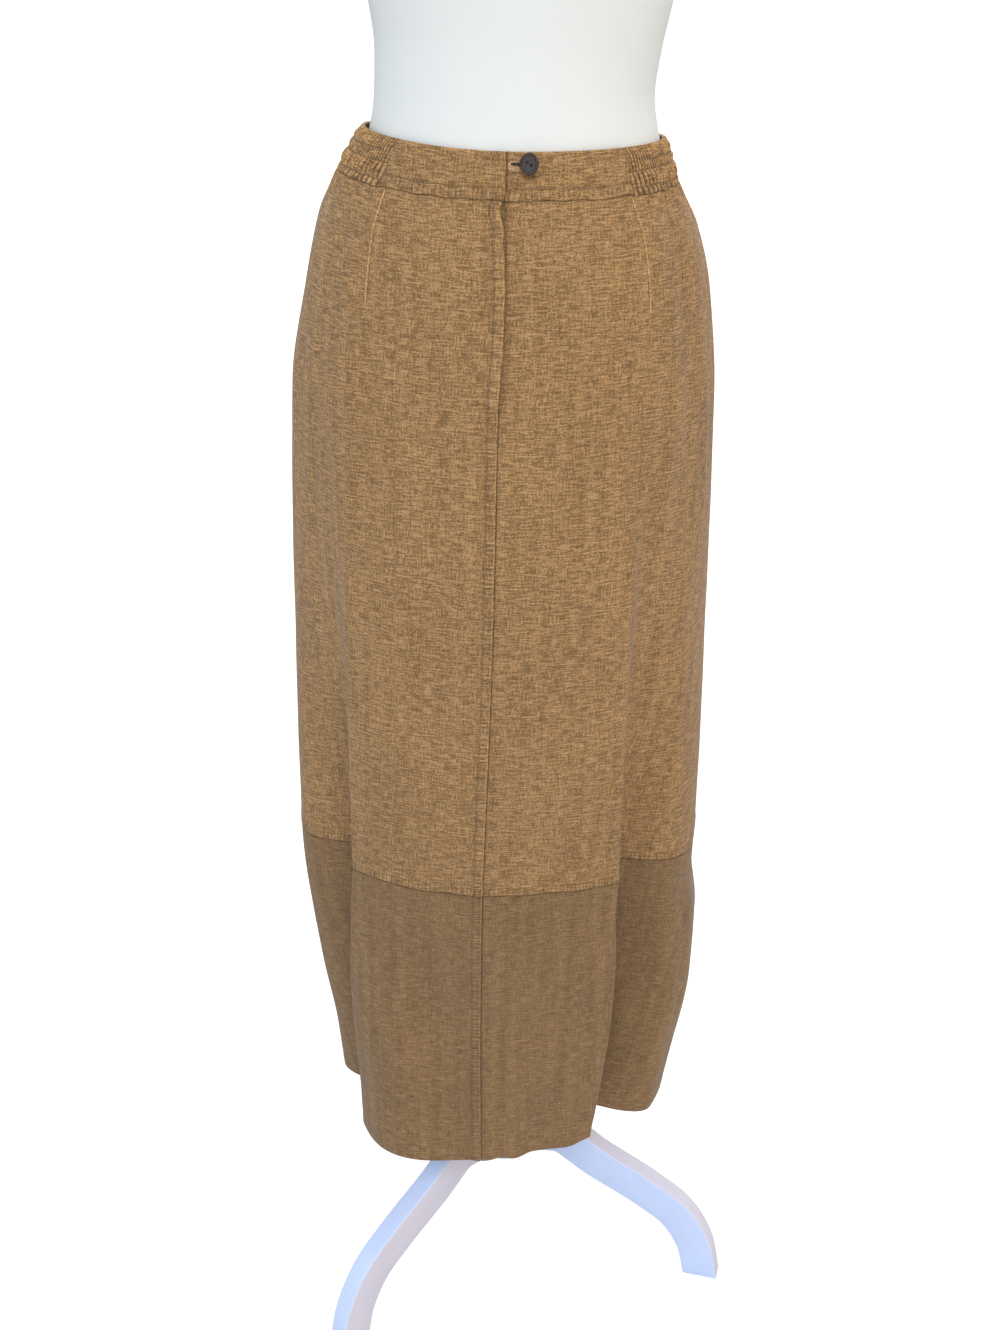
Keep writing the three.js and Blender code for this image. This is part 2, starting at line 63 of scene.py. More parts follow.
WAIST_TOP = 1246.0
WAIST_SEAM = 1208.0
LAP_END = 1045.0
HIP = 1033.0
THIGH = 860.0
LOWER_SEAM = 569.0
CALF = 408.0
HEM = 243.0
FLAT_BACK_LEFT = -47.0
FLAT_BACK_RIGHT = 43.5
FLAT_FRONT_RIGHT = 136.5
FLAT_FRONT_LEFT = 227.0
CLOTH_WALL = 1.4
BAND_WALL = 2.2
SEAM_GAP = 0.3
LAP_WIDTH = 10.0
LAP_SLOPE = 2.0
LAP_CLEAR = 0.5
LAP_FADE = 9.0
ZIP_UNDERLAP = 4.0
TOPSTITCH_IN = 9.0
STITCH_OUT = 0.12
DEGREE = 2.9
ALLOWANCE = 8.0
LOWER_ALLOWANCE = np.linspace(LOWER_SEAM + ALLOWANCE, LOWER_SEAM - ALLOWANCE, 9)[:, None]
DART_END = 1117.0


class Side(Enum):
    """A side of the wearer."""

    LEFT = "left"
    RIGHT = "right"


# The turn of each back dart at the waist and at its point
DARTS = {Side.LEFT: (-43.9, -42.0), Side.RIGHT: (42.6, 40.6)}


class Hold(Enum):
    """How a piece of cloth is held."""

    HUNG = "hung"
    GATHERED = "gathered"
    FOLDED = "folded"


class Ring(NamedTuple):
    """One row of an oval table: reach from the pole each way at a level."""

    level: float
    left: float
    right: float
    back: float
    front: float
    seam: float = 0.0


class Fold(NamedTuple):
    """A fold that falls from the hip, steeper on its near side towards the back."""

    name: str
    at: tuple[float, float]
    half: tuple[float, float]
    near: tuple[float, float]
    out: tuple[float, float, float, float]


class Crease(NamedTuple):
    """A soft trough, or ridge above zero, between two points of the cloth."""

    name: str
    top: tuple[float, float]
    low: tuple[float, float]
    half: float
    out: float


PROFILE = (
    Ring(1246, 137, 131, 108, 104, -3.4),
    Ring(1208, 157, 142, 117, 111, -3.4),
    Ring(1175, 174, 160, 130, 120, -2.8),
    Ring(1121, 188, 175, 146, 130, -2.4),
    Ring(1033, 205, 185, 160, 142, -3.5),
    Ring(860, 211, 190, 167, 150, -4.0),
    Ring(569, 215, 195, 162, 147, -6.1),
    Ring(533, 214, 194, 162, 147, -6.3),
    Ring(473, 208, 201, 159, 147, -6.6),
    Ring(408, 200, 200, 157, 147, -6.9),
    Ring(318, 187, 188, 158, 148, -7.2),
    Ring(243, 180, 177, 158, 149, -7.3),
)

FOLDS = (
    Fold("left valley", (-53, -62.5), (24, 28), (9, 10), (-9, -38, -44, -55)),
    Fold("left crest", (-42, -36), (21, 30), (21, 30), (0, 0, 15, 23)),
    Fold("back dip", (15, 14), (28, 28), (28, 28), (0, -6, -8, -14)),
    Fold("right valley", (40.5, 40), (20, 24), (7, 8.5), (-11, -42, -58, -84)),
    Fold("right crest", (67, 70), (14, 18), (14, 18), (0, 4, 4, 0)),
    Fold("front right valley", (128, 124), (24, 22), (24, 22), (-3, -12, -22, -34)),
    Fold("front crest", (176, 174), (30, 30), (30, 30), (0, 3, 6, 10)),
    Fold("front left valley", (226, 232), (26, 24), (26, 24), (-2, -9, -18, -30)),
)

# Waves of the hem at the back: the turn of each, half its width and how far it lifts
HEM_WAVES = ((34.0, 12.0, 11.0), (4.5, 6.5, -5.2), (-6.0, 6.5, -2.4))

# Soft creases: (turn, level) at the top and the low end
CREASES = (
    Crease("left elastic fall", (-58, 1196), (-62, 760), 9, -2.2),
    Crease("left elastic crest", (-50, 1190), (-51, 700), 8, 1.4),
    Crease("left dart fall", (-40, 1115), (-38, 830), 12, -1.5),
    Crease("left hip ridge", (-70, 1190), (-77, 900), 9, 1.6),
    Crease("left side fall", (-82, 1180), (-86, 860), 9, -1.8),
    Crease("right elastic fall", (56, 1196), (60, 780), 8, -2.4),
    Crease("right elastic crest", (48, 1190), (50, 720), 9, 1.6),
    Crease("right side ridge", (66, 1185), (69, 840), 8, 1.8),
    Crease("right side fall", (77, 1180), (79, 870), 8, -2.0),
    Crease("right dart fall", (36, 1115), (34, 860), 12, -1.4),
    Crease("centre left ease", (-17, 1010), (-19, 700), 16, -1.3),
    Crease("centre right ease", (8, 1020), (7, 760), 14, -1.2),
    Crease("lap end drag left", (-6, 1042), (-15, 985), 6, -1.0),
    Crease("lap end drag right", (1, 1046), (12, 990), 6, -0.9),
    Crease("left band ease", (-24, 540), (-23, 262), 13, -1.6),
    Crease("left band ridge", (-33, 552), (-31, 300), 9, 1.2),
    Crease("right band ease", (2, 548), (5, 270), 12, -1.5),
    Crease("right band ridge", (22, 556), (24, 330), 10, 1.3),
    Crease("right lobe ease", (62, 548), (66, 300), 8, -1.8),
    Crease("front elastic fall right", (118, 1194), (114, 800), 9, -2.2),
    Crease("front elastic ridge right", (127, 1190), (125, 830), 9, 1.6),
    Crease("front elastic fall left", (238, 1194), (242, 790), 9, -2.2),
    Crease("front elastic ridge left", (230, 1190), (231, 850), 9, 1.5),
    Crease("front ease right", (158, 1150), (156, 760), 15, -1.4),
    Crease("front ease left", (203, 1140), (205, 720), 15, -1.5),
    Crease("front ridge", (181, 1000), (179, 640), 16, 1.2),
    Crease("front side ridge right", (102, 1185), (100, 840), 8, 1.7),
    Crease("front side ridge left", (258, 1185), (260, 850), 8, 1.7),
    Crease("front band ease right", (150, 548), (152, 280), 13, -1.6),
    Crease("front band ease left", (206, 550), (209, 290), 12, -1.5),
)

TORSO = (
    Ring(1740, 54, 56, 50, 48),
    Ring(1706, 57, 59, 52, 49),
    Ring(1681, 72, 74, 58, 51),
    Ring(1664, 112, 114, 67, 57),
    Ring(1644, 156, 158, 79, 69),
    Ring(1618, 170, 172, 91, 84),
    Ring(1576, 163, 165, 101, 104),
    Ring(1523, 152, 154, 106, 122),
    Ring(1468, 145, 147, 105, 124),
    Ring(1413, 137, 139, 102, 113),
    Ring(1358, 128, 130, 99, 104),
    Ring(1318, 123, 122, 98, 100),
    Ring(1283, 124, 118, 99.5, 98.6),
    Ring(1246, 130, 124, 103.6, 101.4),
    Ring(1208, 141, 134, 109.5, 104.5),
    Ring(1158, 158, 152, 120, 109.5),
    Ring(1108, 170, 164, 129, 113),
    Ring(1058, 172, 166, 129, 112),
    Ring(1016, 159, 153, 119, 106),
    Ring(1000, 142, 136, 106, 96),
)


def smoothstep(value: np.ndarray, low: float, high: float) -> np.ndarray:
    """Return a soft step from 0 at low to 1 at high."""
    share = np.clip((value - low) / (high - low), 0.0, 1.0)
    return share * share * (3.0 - 2.0 * share)


def hump(position: np.ndarray) -> np.ndarray:
    """Return a soft hump of height 1 over -1 to 1."""
    return np.where(np.abs(position) < 1, 0.5 + 0.5 * np.cos(np.pi * position), 0.0)


def uneven(value: np.ndarray, seed: float) -> np.ndarray:
    """Return a smooth irregular wave of about -1 to 1.

    Args:
        value: where to read it, one wave being about 6 long.
        seed: which wave it is.

    Returns:
        The wave's height at each value.
    """
    first = np.sin(value + seed * 1.3)
    second = np.sin(value * 1.73 + seed * 2.9 + 1.0)
    third = np.sin(value * 0.61 + seed * 0.7 + 2.0)
    return (first + second + third) / 2.2


def ledge(distance: np.ndarray, width: float, high: float) -> np.ndarray:
    """Return the relief of a seam's turned allowance beside its edge.

    Args:
        distance: distance from the seam, in mm.
        width: how wide the allowance is.
        high: how far it lifts the cloth.

    Returns:
        The lift: it rolls down at the seam and sinks under the topstitch.
    """
    flat = high * (1.0 - smoothstep(distance, width - 1.4, width + 0.6))
    roll = -(high + 0.55) * np.clip(1.0 - distance / 1.3, 0.0, 1.0) ** 2
    sink = -0.4 * np.exp(-(((distance - width) / 1.1) ** 2))
    near = distance < width + 6
    return np.where(near, flat + roll + sink, 0.0)


def spread(start: float, end: float, count: int) -> np.ndarray:
    """Return count + 1 even steps from start to end."""
    return np.linspace(start, end, count + 1)


def stretches(ends: Sequence[float], counts: Sequence[int]) -> np.ndarray:
    """Return even steps from end to end, so many in each stretch."""
    made = [spread(start, end, count)[:-1] for start, end, count in zip(ends, ends[1:], counts)]
    return np.concatenate([*made, [ends[-1]]])


def table_curve(levels: Sequence[float], values: Sequence[float], at: np.ndarray) -> np.ndarray:
    """Read a table as a smooth curve that never overshoots its rows.

    Args:
        levels: the rows' levels, from the top down.
        values: the rows' values.
        at: the levels to read.

    Returns:
        The value at each level.
    """
    x = np.array(levels, float)[::-1]
    y = np.array(values, float)[::-1]
    secant = np.diff(y) / np.diff(x)
    slope = np.empty_like(y)
    slope[0], slope[-1] = secant[0], secant[-1]
    product = secant[:-1] * secant[1:]
    total = secant[:-1] + secant[1:]
    slope[1:-1] = np.where(product > 0, 2 * product / np.where(product > 0, total, 1.0), 0.0)
    place = np.clip(at, x[0], x[-1])
    index = np.clip(np.searchsorted(x, place, side="right") - 1, 0, len(x) - 2)
    span = x[index + 1] - x[index]
    t = (place - x[index]) / span
    keep_low = 2 * t**3 - 3 * t**2 + 1
    keep_high = 3 * t**2 - 2 * t**3
    bend_low = (t**3 - 2 * t**2 + t) * span * slope[index]
    bend_high = (t**3 - t**2) * span * slope[index + 1]
    return keep_low * y[index] + keep_high * y[index + 1] + bend_low + bend_high


@dataclass(frozen=True)
class Oval:
    """An upright form of quarter ellipses through the rows of a table."""

    rows: tuple[Ring, ...]

    def column(self, name: str, level: np.ndarray) -> np.ndarray:
        """Return a named column at each level."""
        levels = [row.level for row in self.rows]
        values = [getattr(row, name) for row in self.rows]
        return table_curve(levels, values, level)

    def ring(self, turn: np.ndarray, level: np.ndarray) -> tuple[np.ndarray, np.ndarray]:
        """Return the oval's points and its outward normals, both seen from above.

        Args:
            turn: degrees round from the centre back.
            level: height of each point.

        Returns:
            Points and unit normals, each with two values in the last axis.
        """
        across = np.sin(np.radians(turn))
        back = np.cos(np.radians(turn))
        reach_x = np.where(across < 0, self.column("left", level), self.column("right", level))
        reach_y = np.where(back > 0, self.column("back", level), self.column("front", level))
        points = np.stack([reach_x * across, -reach_y * back], axis=-1)
        normals = np.stack([across / reach_x, -back / reach_y], axis=-1)
        return points, normals / np.linalg.norm(normals, axis=-1, keepdims=True)


@dataclass(frozen=True)
class SkirtForm:
    """The skirt's surface, with its folds, as it hangs on the dress form."""

    oval: Oval = Oval(PROFILE)
    folds: tuple[Fold, ...] = FOLDS
    creases: tuple[Crease, ...] = CREASES
    rise_left: float = 10.0
    rise_right: float = 2.0
    rise_back: float = 0.0
    rise_front: float = 5.0

    def fold_reach(self, turn: np.ndarray, level: np.ndarray) -> np.ndarray:
        """Return how far the folds carry the cloth out of the plain oval."""
        drop = np.clip((LOWER_SEAM - level) / (LOWER_SEAM - HEM), 0.0, 1.0)
        reach = np.zeros(np.broadcast(turn, level).shape)
        for fold in self.folds:
            middle = fold.at[0] + (fold.at[1] - fold.at[0]) * drop
            away = np.mod(turn - middle + 180.0, 360.0) - 180.0
            far = fold.half[0] + (fold.half[1] - fold.half[0]) * drop
            near = fold.near[0] + (fold.near[1] - fold.near[0]) * drop
            half = np.where(away * middle < 0, near, far)
            out = table_curve((HIP, THIGH, LOWER_SEAM, CALF, HEM), (0.0, *fold.out), level)
            reach = reach + out * hump(away / half)
        return reach

    def lift(self, turn: np.ndarray, level: np.ndarray) -> np.ndarray:
        """Return how far the worn waist stands above its centre back."""
        across = np.sin(np.radians(turn))
        back = np.cos(np.radians(turn))
        side = np.where(across < 0, self.rise_left, self.rise_right)
        middle = np.where(back > 0, self.rise_back, self.rise_front)
        waist = 0.9 * uneven(turn / 2.6, 4.0) * hump((level - WAIST_SEAM - 4.0) / 18.0)
        lower = 0.8 * uneven(turn / 4.0, 9.0) * hump((level - LOWER_SEAM - 4.0) / 20.0)
        hem = sum(high * hump((turn - at) / half) for at, half, high in HEM_WAVES)
        hem = hem * (1.0 - smoothstep(level, HEM, HEM + 50.0))
        worn = (side * across**2 + middle * back**2) * smoothstep(level, HIP, WAIST_SEAM)
        return worn + waist + lower + hem

    def surface(self, turn: np.ndarray, level: np.ndarray) -> np.ndarray:
        """Return points of the plain surface."""
        turn, level = np.broadcast_arrays(np.asarray(turn, float), np.asarray(level, float))
        points, normals = self.oval.ring(turn, level)
        flat = points + normals * self.fold_reach(turn, level)[..., None]
        return np.concatenate([flat, (level + self.lift(turn, level))[..., None]], axis=-1)

    def normal(self, turn: np.ndarray, level: np.ndarray) -> np.ndarray:
        """Return the plain surface's outward unit normals."""
        step = 0.25
        around = self.surface(turn + step, level) - self.surface(turn - step, level)
        rise = self.surface(turn, level + step * 4) - self.surface(turn, level - step * 4)
        made = np.cross(around, rise)
        return made / np.linalg.norm(made, axis=-1, keepdims=True)

    def cloth(self, turn: np.ndarray, level: np.ndarray, out: np.ndarray) -> np.ndarray:
        """Return points moved out of the surface, or into it below zero."""
        out = np.broadcast_to(np.asarray(out, float), np.broadcast(turn, level).shape)
        return self.surface(turn, level) + self.normal(turn, level) * out[..., None]

    def centre(self, level: np.ndarray) -> np.ndarray:
        """Return the turn of the centre back line."""
        return self.oval.column("seam", np.asarray(level, float))

    def turn_of(self, length: np.ndarray, level: np.ndarray) -> np.ndarray:
        """Return the degrees of turn that cover a length at the centre back."""
        turn = self.centre(level)
        ends = self.surface(turn + 0.5, level) - self.surface(turn - 0.5, level)
        return length / np.linalg.norm(ends, axis=-1)

    def centre_at(self, level: float) -> tuple[float, float]:
        """Return the centre back's turn at one level, and the degrees in a millimetre there."""
        row = np.array([level])
        return float(self.centre(row)[0]), float(self.turn_of(1.0, row)[0])

    def inside(self, turn: np.ndarray, level: np.ndarray) -> np.ndarray:
        """Return the distance left of the centre back line, in mm."""
        return (self.centre(level) - turn) / self.turn_of(1.0, level)

    def turn_across(self, across: float, level: float) -> float:
        """Return the turn at which the back lies a distance across from the pole."""
        name = "left" if across < 0 else "right"
        reach = float(self.oval.column(name, np.array([level]))[0])
        return math.degrees(math.asin(across / reach))

    def crease_reach(self, turn: np.ndarray, level: np.ndarray) -> np.ndarray:
        """Return how far the soft creases move the cloth out."""
        reach = np.zeros(np.broadcast(turn, level).shape)
        for index, crease in enumerate(self.creases):
            (top_turn, top), (low_turn, low) = crease.top, crease.low
            share = (top - level) / (top - low)
            length = top - low
            middle = top_turn + (low_turn - top_turn) * share
            middle = middle + 0.9 * uneven(level / 55.0, index)
            away = (np.mod(turn - middle + 180.0, 360.0) - 180.0) * 3.1
            fade = smoothstep(share, 0.0, min(0.3, 40.0 / length)) * (1 - smoothstep(share, 0.55, 1.0))
            strength = fade * (0.85 + 0.25 * uneven(level / 34.0, index + 3.0))
            reach = reach + crease.out * strength * hump(away / (crease.half * 1.6))
        return reach

    def ease(self, turn: np.ndarray, level: np.ndarray) -> np.ndarray:
        """Return the cloth's small, wide unevenness."""
        along = uneven(level / 26.0 + uneven(turn / 9.0, 2.0), 5.0)
        across = uneven(turn / 4.6 + 0.6 * uneven(level / 60.0, 1.0), 8.0)
        return 0.22 * along + 0.3 * across


class Graph:
    """Adds nodes to a shader tree and joins their sockets."""

    def __init__(self, tree: bpy.types.NodeTree) -> None:
        """Work on one node tree."""
        self.tree = tree

    def add(self, kind: str, **settings: object) -> bpy.types.Node:
        """Return a new node with its properties set."""
        node = self.tree.nodes.new(kind)
        for name, value in settings.items():
            setattr(node, name, value)
        return node

    def join(self, source: object, target: bpy.types.NodeSocket) -> None:
        """Feed a socket from another socket, or set it to a plain value."""
        if isinstance(source, bpy.types.NodeSocket):
            self.tree.links.new(source, target)
        else:
            target.default_value = source

    def math(self, operation: str, first: object, second: object = 0.0) -> bpy.types.NodeSocket:
        """Return the result of one sum on two numbers or sockets."""
        node = self.add("ShaderNodeMath", operation=operation)
        self.join(first, node.inputs[0])
        self.join(second, node.inputs[1])
        return node.outputs[0]

    def times(self, first: object, second: object) -> bpy.types.NodeSocket:
        """Return the product of two numbers or sockets."""
        return self.math("MULTIPLY", first, second)

    def plus(self, first: object, second: object) -> bpy.types.NodeSocket:
        """Return the sum of two numbers or sockets."""
        return self.math("ADD", first, second)

    def stretch(self, vector: object, scale: Triple, shift: object = (0, 0, 0)) -> bpy.types.NodeSocket:
        """Return a vector times a scale, plus a shift."""
        node = self.add("ShaderNodeVectorMath", operation="MULTIPLY_ADD")
        self.join(vector, node.inputs[0])
        self.join(scale, node.inputs[1])
        self.join(shift, node.inputs[2])
        return node.outputs[0]

    def on_cloth(self) -> bpy.types.NodeSocket:
        """Return the place on the flat cloth or board, in mm."""
        return self.stretch(self.add("ShaderNodeUVMap", uv_map="cloth").outputs[0], (1 / MM, 1 / MM, 0))

    def in_part(self, scale: float) -> bpy.types.NodeSocket:
        """Return the place in the part, times a scale."""
        return self.stretch(self.add("ShaderNodeTexCoord").outputs["Object"], (scale, scale, scale))

    def noise(self, vector: object, detail: float = 2.0, rough: float = 0.5) -> bpy.types.NodeSocket:
        """Return a noise of about 0 to 1 whose grains are one unit across."""
        node = self.add("ShaderNodeTexNoise")
        self.join(vector, node.inputs["Vector"])
        self.join(1.0, node.inputs["Scale"])
        self.join(detail, node.inputs["Detail"])
        self.join(rough, node.inputs["Roughness"])
        return node.outputs["Fac"]

    def span(
        self, value: object, low: float, high: float, to_low: float = 0.0, to_high: float = 1.0
    ) -> bpy.types.NodeSocket:
        """Return a value carried from one range to another, and kept in it."""
        node = self.add("ShaderNodeMapRange")
        self.join(value, node.inputs[0])
        for index, number in enumerate((low, high, to_low, to_high), start=1):
            self.join(number, node.inputs[index])
        return node.outputs[0]

    def mix(self, share: object, first: object, second: object, blend: str = "MIX") -> bpy.types.NodeSocket:
        """Return two colours mixed."""
        node = self.add("ShaderNodeMix", data_type="RGBA", blend_type=blend)
        self.join(share, node.inputs[0])
        self.join(first, node.inputs[6])
        self.join(second, node.inputs[7])
        return node.outputs[2]

    def parts(self, vector: object) -> bpy.types.bpy_prop_collection:
        """Return a vector's three numbers."""
        node = self.add("ShaderNodeSeparateXYZ")
        self.join(vector, node.inputs[0])
        return node.outputs

    def bump(self, height: object, strength: float = 1.0) -> bpy.types.NodeSocket:
        """Return the normal of a surface with relief in mm."""
        node = self.add("ShaderNodeBump")
        self.join(strength, node.inputs["Strength"])
        self.join(MM, node.inputs["Distance"])
        self.join(height, node.inputs["Height"])
        return node.outputs[0]


@dataclass(frozen=True)
class Effect:
    """A shared shader node group: what it takes, what it gives and how."""

    name: str
    takes: tuple[tuple[str, float | Triple], ...]
    gives: tuple[str, ...]
    draw: Callable[[Graph, dict[str, bpy.types.NodeSocket]], tuple]

    def group(self) -> bpy.types.NodeTree:
        """Return the node group, built on its first use."""
        if self.name in bpy.data.node_groups:
            return bpy.data.node_groups[self.name]
        tree = bpy.data.node_groups.new(self.name, "ShaderNodeTree")
        for name, value in self.takes:
            kind = "NodeSocketVector" if isinstance(value, tuple) else "NodeSocketFloat"
            tree.interface.new_socket(name=name, in_out="INPUT", socket_type=kind).default_value = value
        for name in self.gives:
            tree.interface.new_socket(name=name, in_out="OUTPUT", socket_type="NodeSocketFloat")
        graph = Graph(tree)
        entry = graph.add("NodeGroupInput")
        leave = graph.add("NodeGroupOutput")
        made = self.draw(graph, {name: entry.outputs[name] for name, _ in self.takes})
        for name, socket in zip(self.gives, made):
            graph.join(socket, leave.inputs[name])
        return tree

    def place(self, graph: Graph, **values: object) -> bpy.types.bpy_prop_collection:
        """Put the effect in a material.

        Args:
            graph: the material's graph.
            values: what feeds each input, by its name in small letters.

        Returns:
            The group's outputs.
        """
        node = graph.add("ShaderNodeGroup", node_tree=self.group())
        for name, value in values.items():
            graph.join(value, node.inputs[name.capitalize()])
        return node.outputs


def draw_weave(graph: Graph, given: dict[str, bpy.types.NodeSocket]) -> tuple:
    """Draw a slubbed plain weave: warp down the cloth and weft across it."""
    seed = graph.add("ShaderNodeCombineXYZ")
    for socket, jump in zip(seed.inputs, (37.0, 91.0)):
        graph.join(graph.times(given["Seed"], jump), socket)
    start = seed.outputs[0]
    cloth = given["Cloth"]

    def yarn(wide: float, high: float, detail: float = 1.0) -> bpy.types.NodeSocket:
        """Return a noise of grains so many millimetres wide and high."""
        return graph.noise(graph.stretch(cloth, (1 / wide, 1 / high, 0), start), detail, 0.55)

    def spots(grain: bpy.types.NodeSocket, low: float, high: float, share: float) -> bpy.types.NodeSocket:
        """Return the tops of a noise, as strong as the share."""
        return graph.times(graph.span(grain, low, high), share)

    warp, weft, grain = yarn(1.5, 11.0), yarn(13.0, 1.5), yarn(1.7, 1.6, 2.0)
    crossed = graph.plus(graph.times(warp, 0.95), graph.times(weft, 1.5))
    tone = graph.plus(crossed, graph.times(grain, 1.9))
    tone = graph.plus(graph.times(graph.math("SUBTRACT", tone, 2.26), given["Contrast"]), 0.5)
    dashes = graph.plus(spots(yarn(15.0, 1.2), 0.6, 0.74, 1.0), spots(yarn(1.2, 13.0), 0.62, 0.76, 0.75))
    lines = graph.plus(spots(yarn(70.0, 1.7), 0.66, 0.76, 0.55), spots(yarn(1.5, 90.0), 0.7, 0.8, 0.35))
    slubs = graph.times(graph.plus(dashes, lines), given["Slub"])
    streaks = graph.times(graph.math("SUBTRACT", yarn(9.0, 160.0, 2.0), 0.5), given["Streak"])
    tone = graph.plus(graph.plus(tone, slubs), streaks)
    place = graph.parts(cloth)
    over = graph.math("SINE", graph.times(place[0], 6.6))
    under = graph.math("SINE", graph.times(place[1], 6.1))
    threads = graph.times(graph.times(over, under), 0.035)
    height = graph.plus(graph.times(crossed, 0.16), threads)
    height = graph.plus(height, graph.times(slubs, 0.12))
    return tone, height


def draw_puckers_and_seam_shade(graph: Graph, given: dict[str, bpy.types.NodeSocket]) -> tuple:
    """Draw the small puckers that a line of stitches pulls across a seam, with the painted shade and highlight of the
    puckers and of the seam's edge tone.
    """
    along, mask, edge = graph.parts(given["Seam"])
    drift = graph.add("ShaderNodeCombineXYZ")
    graph.join(graph.math("DIVIDE", along, 11.0), drift.inputs[0])
    wander = graph.times(graph.noise(drift.outputs[0], 1.0), 9.0)
    turned = graph.math("DIVIDE", graph.plus(along, wander), given["Pitch"])
    wave = graph.times(graph.math("SINE", graph.times(turned, 2 * math.pi)), mask)
    height = graph.times(wave, given["High"])
    # Painted light: the edge tone darkens or lightens the cloth at seams and edges, and the puckers are painted
    # darker in their hollows and lighter on their crests
    shade = graph.plus(graph.times(edge, 0.46), graph.times(wave, 0.16))
    return height, graph.plus(shade, 1.0)


def draw_mottle(graph: Graph, given: dict[str, bpy.types.NodeSocket]) -> tuple:
    """Draw wide, faint patches of use and wash."""
    wide = graph.noise(graph.stretch(given["Place"], (1, 1, 1)), 3.0, 0.55)
    return (graph.span(wide, 0.3, 0.7, -1.0, 1.0),)


WEAVE = Effect(
    "LinenWeave",
    (("Cloth", (0, 0, 0)), ("Seed", 0.0), ("Slub", 1.0), ("Contrast", 1.0), ("Streak", 0.5)),
    ("Tone", "Height"),
    draw_weave,
)
SEAM_PUCKERS_AND_SHADE = Effect(
    "SeamPuckersAndShade", (("Seam", (0, 0, 0)), ("Pitch", 4.4), ("High", 0.3)), ("Height", "Shade"), draw_puckers_and_seam_shade
)
MOTTLE = Effect("Mottle", (("Place", (0, 0, 0)),), ("Patch",), draw_mottle)


def shader(name: str) -> tuple[bpy.types.Material, Graph, bpy.types.Node]:
    """Return a new material, its graph and its principled shader."""
    material = bpy.data.materials.new(name)
    material.use_nodes = True
    graph = Graph(material.node_tree)
    return material, graph, material.node_tree.nodes["Principled BSDF"]


def tinted(colour: Triple, *shares: float) -> tuple[float, ...]:
    """Return a colour with each part, or all three, made lighter or darker, and full cover."""
    return (*(part * share for part, share in zip(colour, shares * (3 // len(shares)))), 1.0)


def settle(principled: bpy.types.Node, **values: object) -> None:
    """Set the shader's own sockets; ior and other words are written as in its panel."""
    names = {name.lower().replace(" ", "_"): name for name in principled.inputs.keys()}
    for name, value in values.items():
        principled.inputs[names[name]].default_value = value


@dataclass(frozen=True)
class LinenFinish:
    """Slubbed linen in two yarns, with seam puckers, wear and wash marks, and painted shade and highlights at its
    seams and edges.
    """

    name: str
    slot: str
    colour: Triple
    seed: float = 0.0
    slub: float = 1.0
    contrast: float = 1.25
    streak: float = 0.6
    rough: float = 0.92
    relief: float = 0.8

    def make(self) -> bpy.types.Material:
        """Return the material."""
        material, graph, principled = shader(self.name)
        cloth = graph.on_cloth()
        weave = WEAVE.place(
            graph, cloth=cloth, seed=self.seed, slub=self.slub, contrast=self.contrast, streak=self.streak
        )
        seam = graph.add("ShaderNodeAttribute", attribute_name="seam")
        puckers = SEAM_PUCKERS_AND_SHADE.place(graph, seam=seam.outputs["Vector"])
        patch = MOTTLE.place(graph, place=graph.stretch(cloth, (0.012, 0.007, 0), (self.seed, 3, 0)))
        ramp = graph.add("ShaderNodeValToRGB")
        stops = ramp.color_ramp.elements
        stops[0].position, stops[0].color = 0.05, tinted(self.colour, 0.56)
        stops[1].position, stops[1].color = 1.0, tinted(self.colour, 1.5, 1.58, 1.8)
        stops.new(0.5).color = tinted(self.colour, 1.0)
        graph.join(weave["Tone"], ramp.inputs[0])
        # Random wash patches added to the painted shade and highlight of seams, edges and puckers, which darken or
        # lighten the weave's colour
        wash_and_painted_shade = graph.plus(graph.times(patch["Patch"], 0.06), puckers["Shade"])
        shade = graph.add("ShaderNodeCombineColor")
        for socket in shade.inputs:
            graph.join(wash_and_painted_shade, socket)
        graph.join(graph.mix(1.0, ramp.outputs[0], shade.outputs[0], "MULTIPLY"), principled.inputs["Base Color"])
        height = graph.plus(graph.times(weave["Height"], self.relief), puckers["Height"])
        graph.join(graph.bump(height), principled.inputs["Normal"])
        settle(principled, roughness=self.rough, specular_ior_level=0.25, sheen_weight=0.12, sheen_roughness=0.6)
        return material


@dataclass(frozen=True)
class JerseyFinish:
    """Fine ribbed jersey, pulled smooth over a form."""

    name: str
    slot: str
    colour: Triple
    rib: float = 1.1

    def make(self) -> bpy.types.Material:
        """Return the material."""
        material, graph, principled = shader(self.name)
        cloth = graph.on_cloth()
        place = graph.parts(cloth)
        rib = graph.math("SINE", graph.times(place[0], 2 * math.pi / self.rib))
        loop = graph.math("SINE", graph.times(place[1], 2 * math.pi / (self.rib * 0.8)))
        knit = graph.plus(graph.times(rib, 0.03), graph.times(loop, 0.015))
        fuzz = graph.noise(graph.stretch(cloth, (0.7, 0.7, 0)), 3.0, 0.6)
        patch = MOTTLE.place(graph, place=graph.stretch(cloth, (0.01, 0.006, 0)))
        tone = graph.plus(graph.times(fuzz, 0.1), graph.times(patch["Patch"], 0.25))
        share = graph.span(tone, -0.3, 0.4)
        mixed = graph.mix(share, tinted(self.colour, 0.975), tinted(self.colour, 1.02))
        graph.join(mixed, principled.inputs["Base Color"])
        height = graph.plus(knit, graph.times(fuzz, 0.05))
        graph.join(graph.bump(height), principled.inputs["Normal"])
        settle(principled, roughness=0.85, specular_ior_level=0.2, sheen_weight=0.1)
        return material


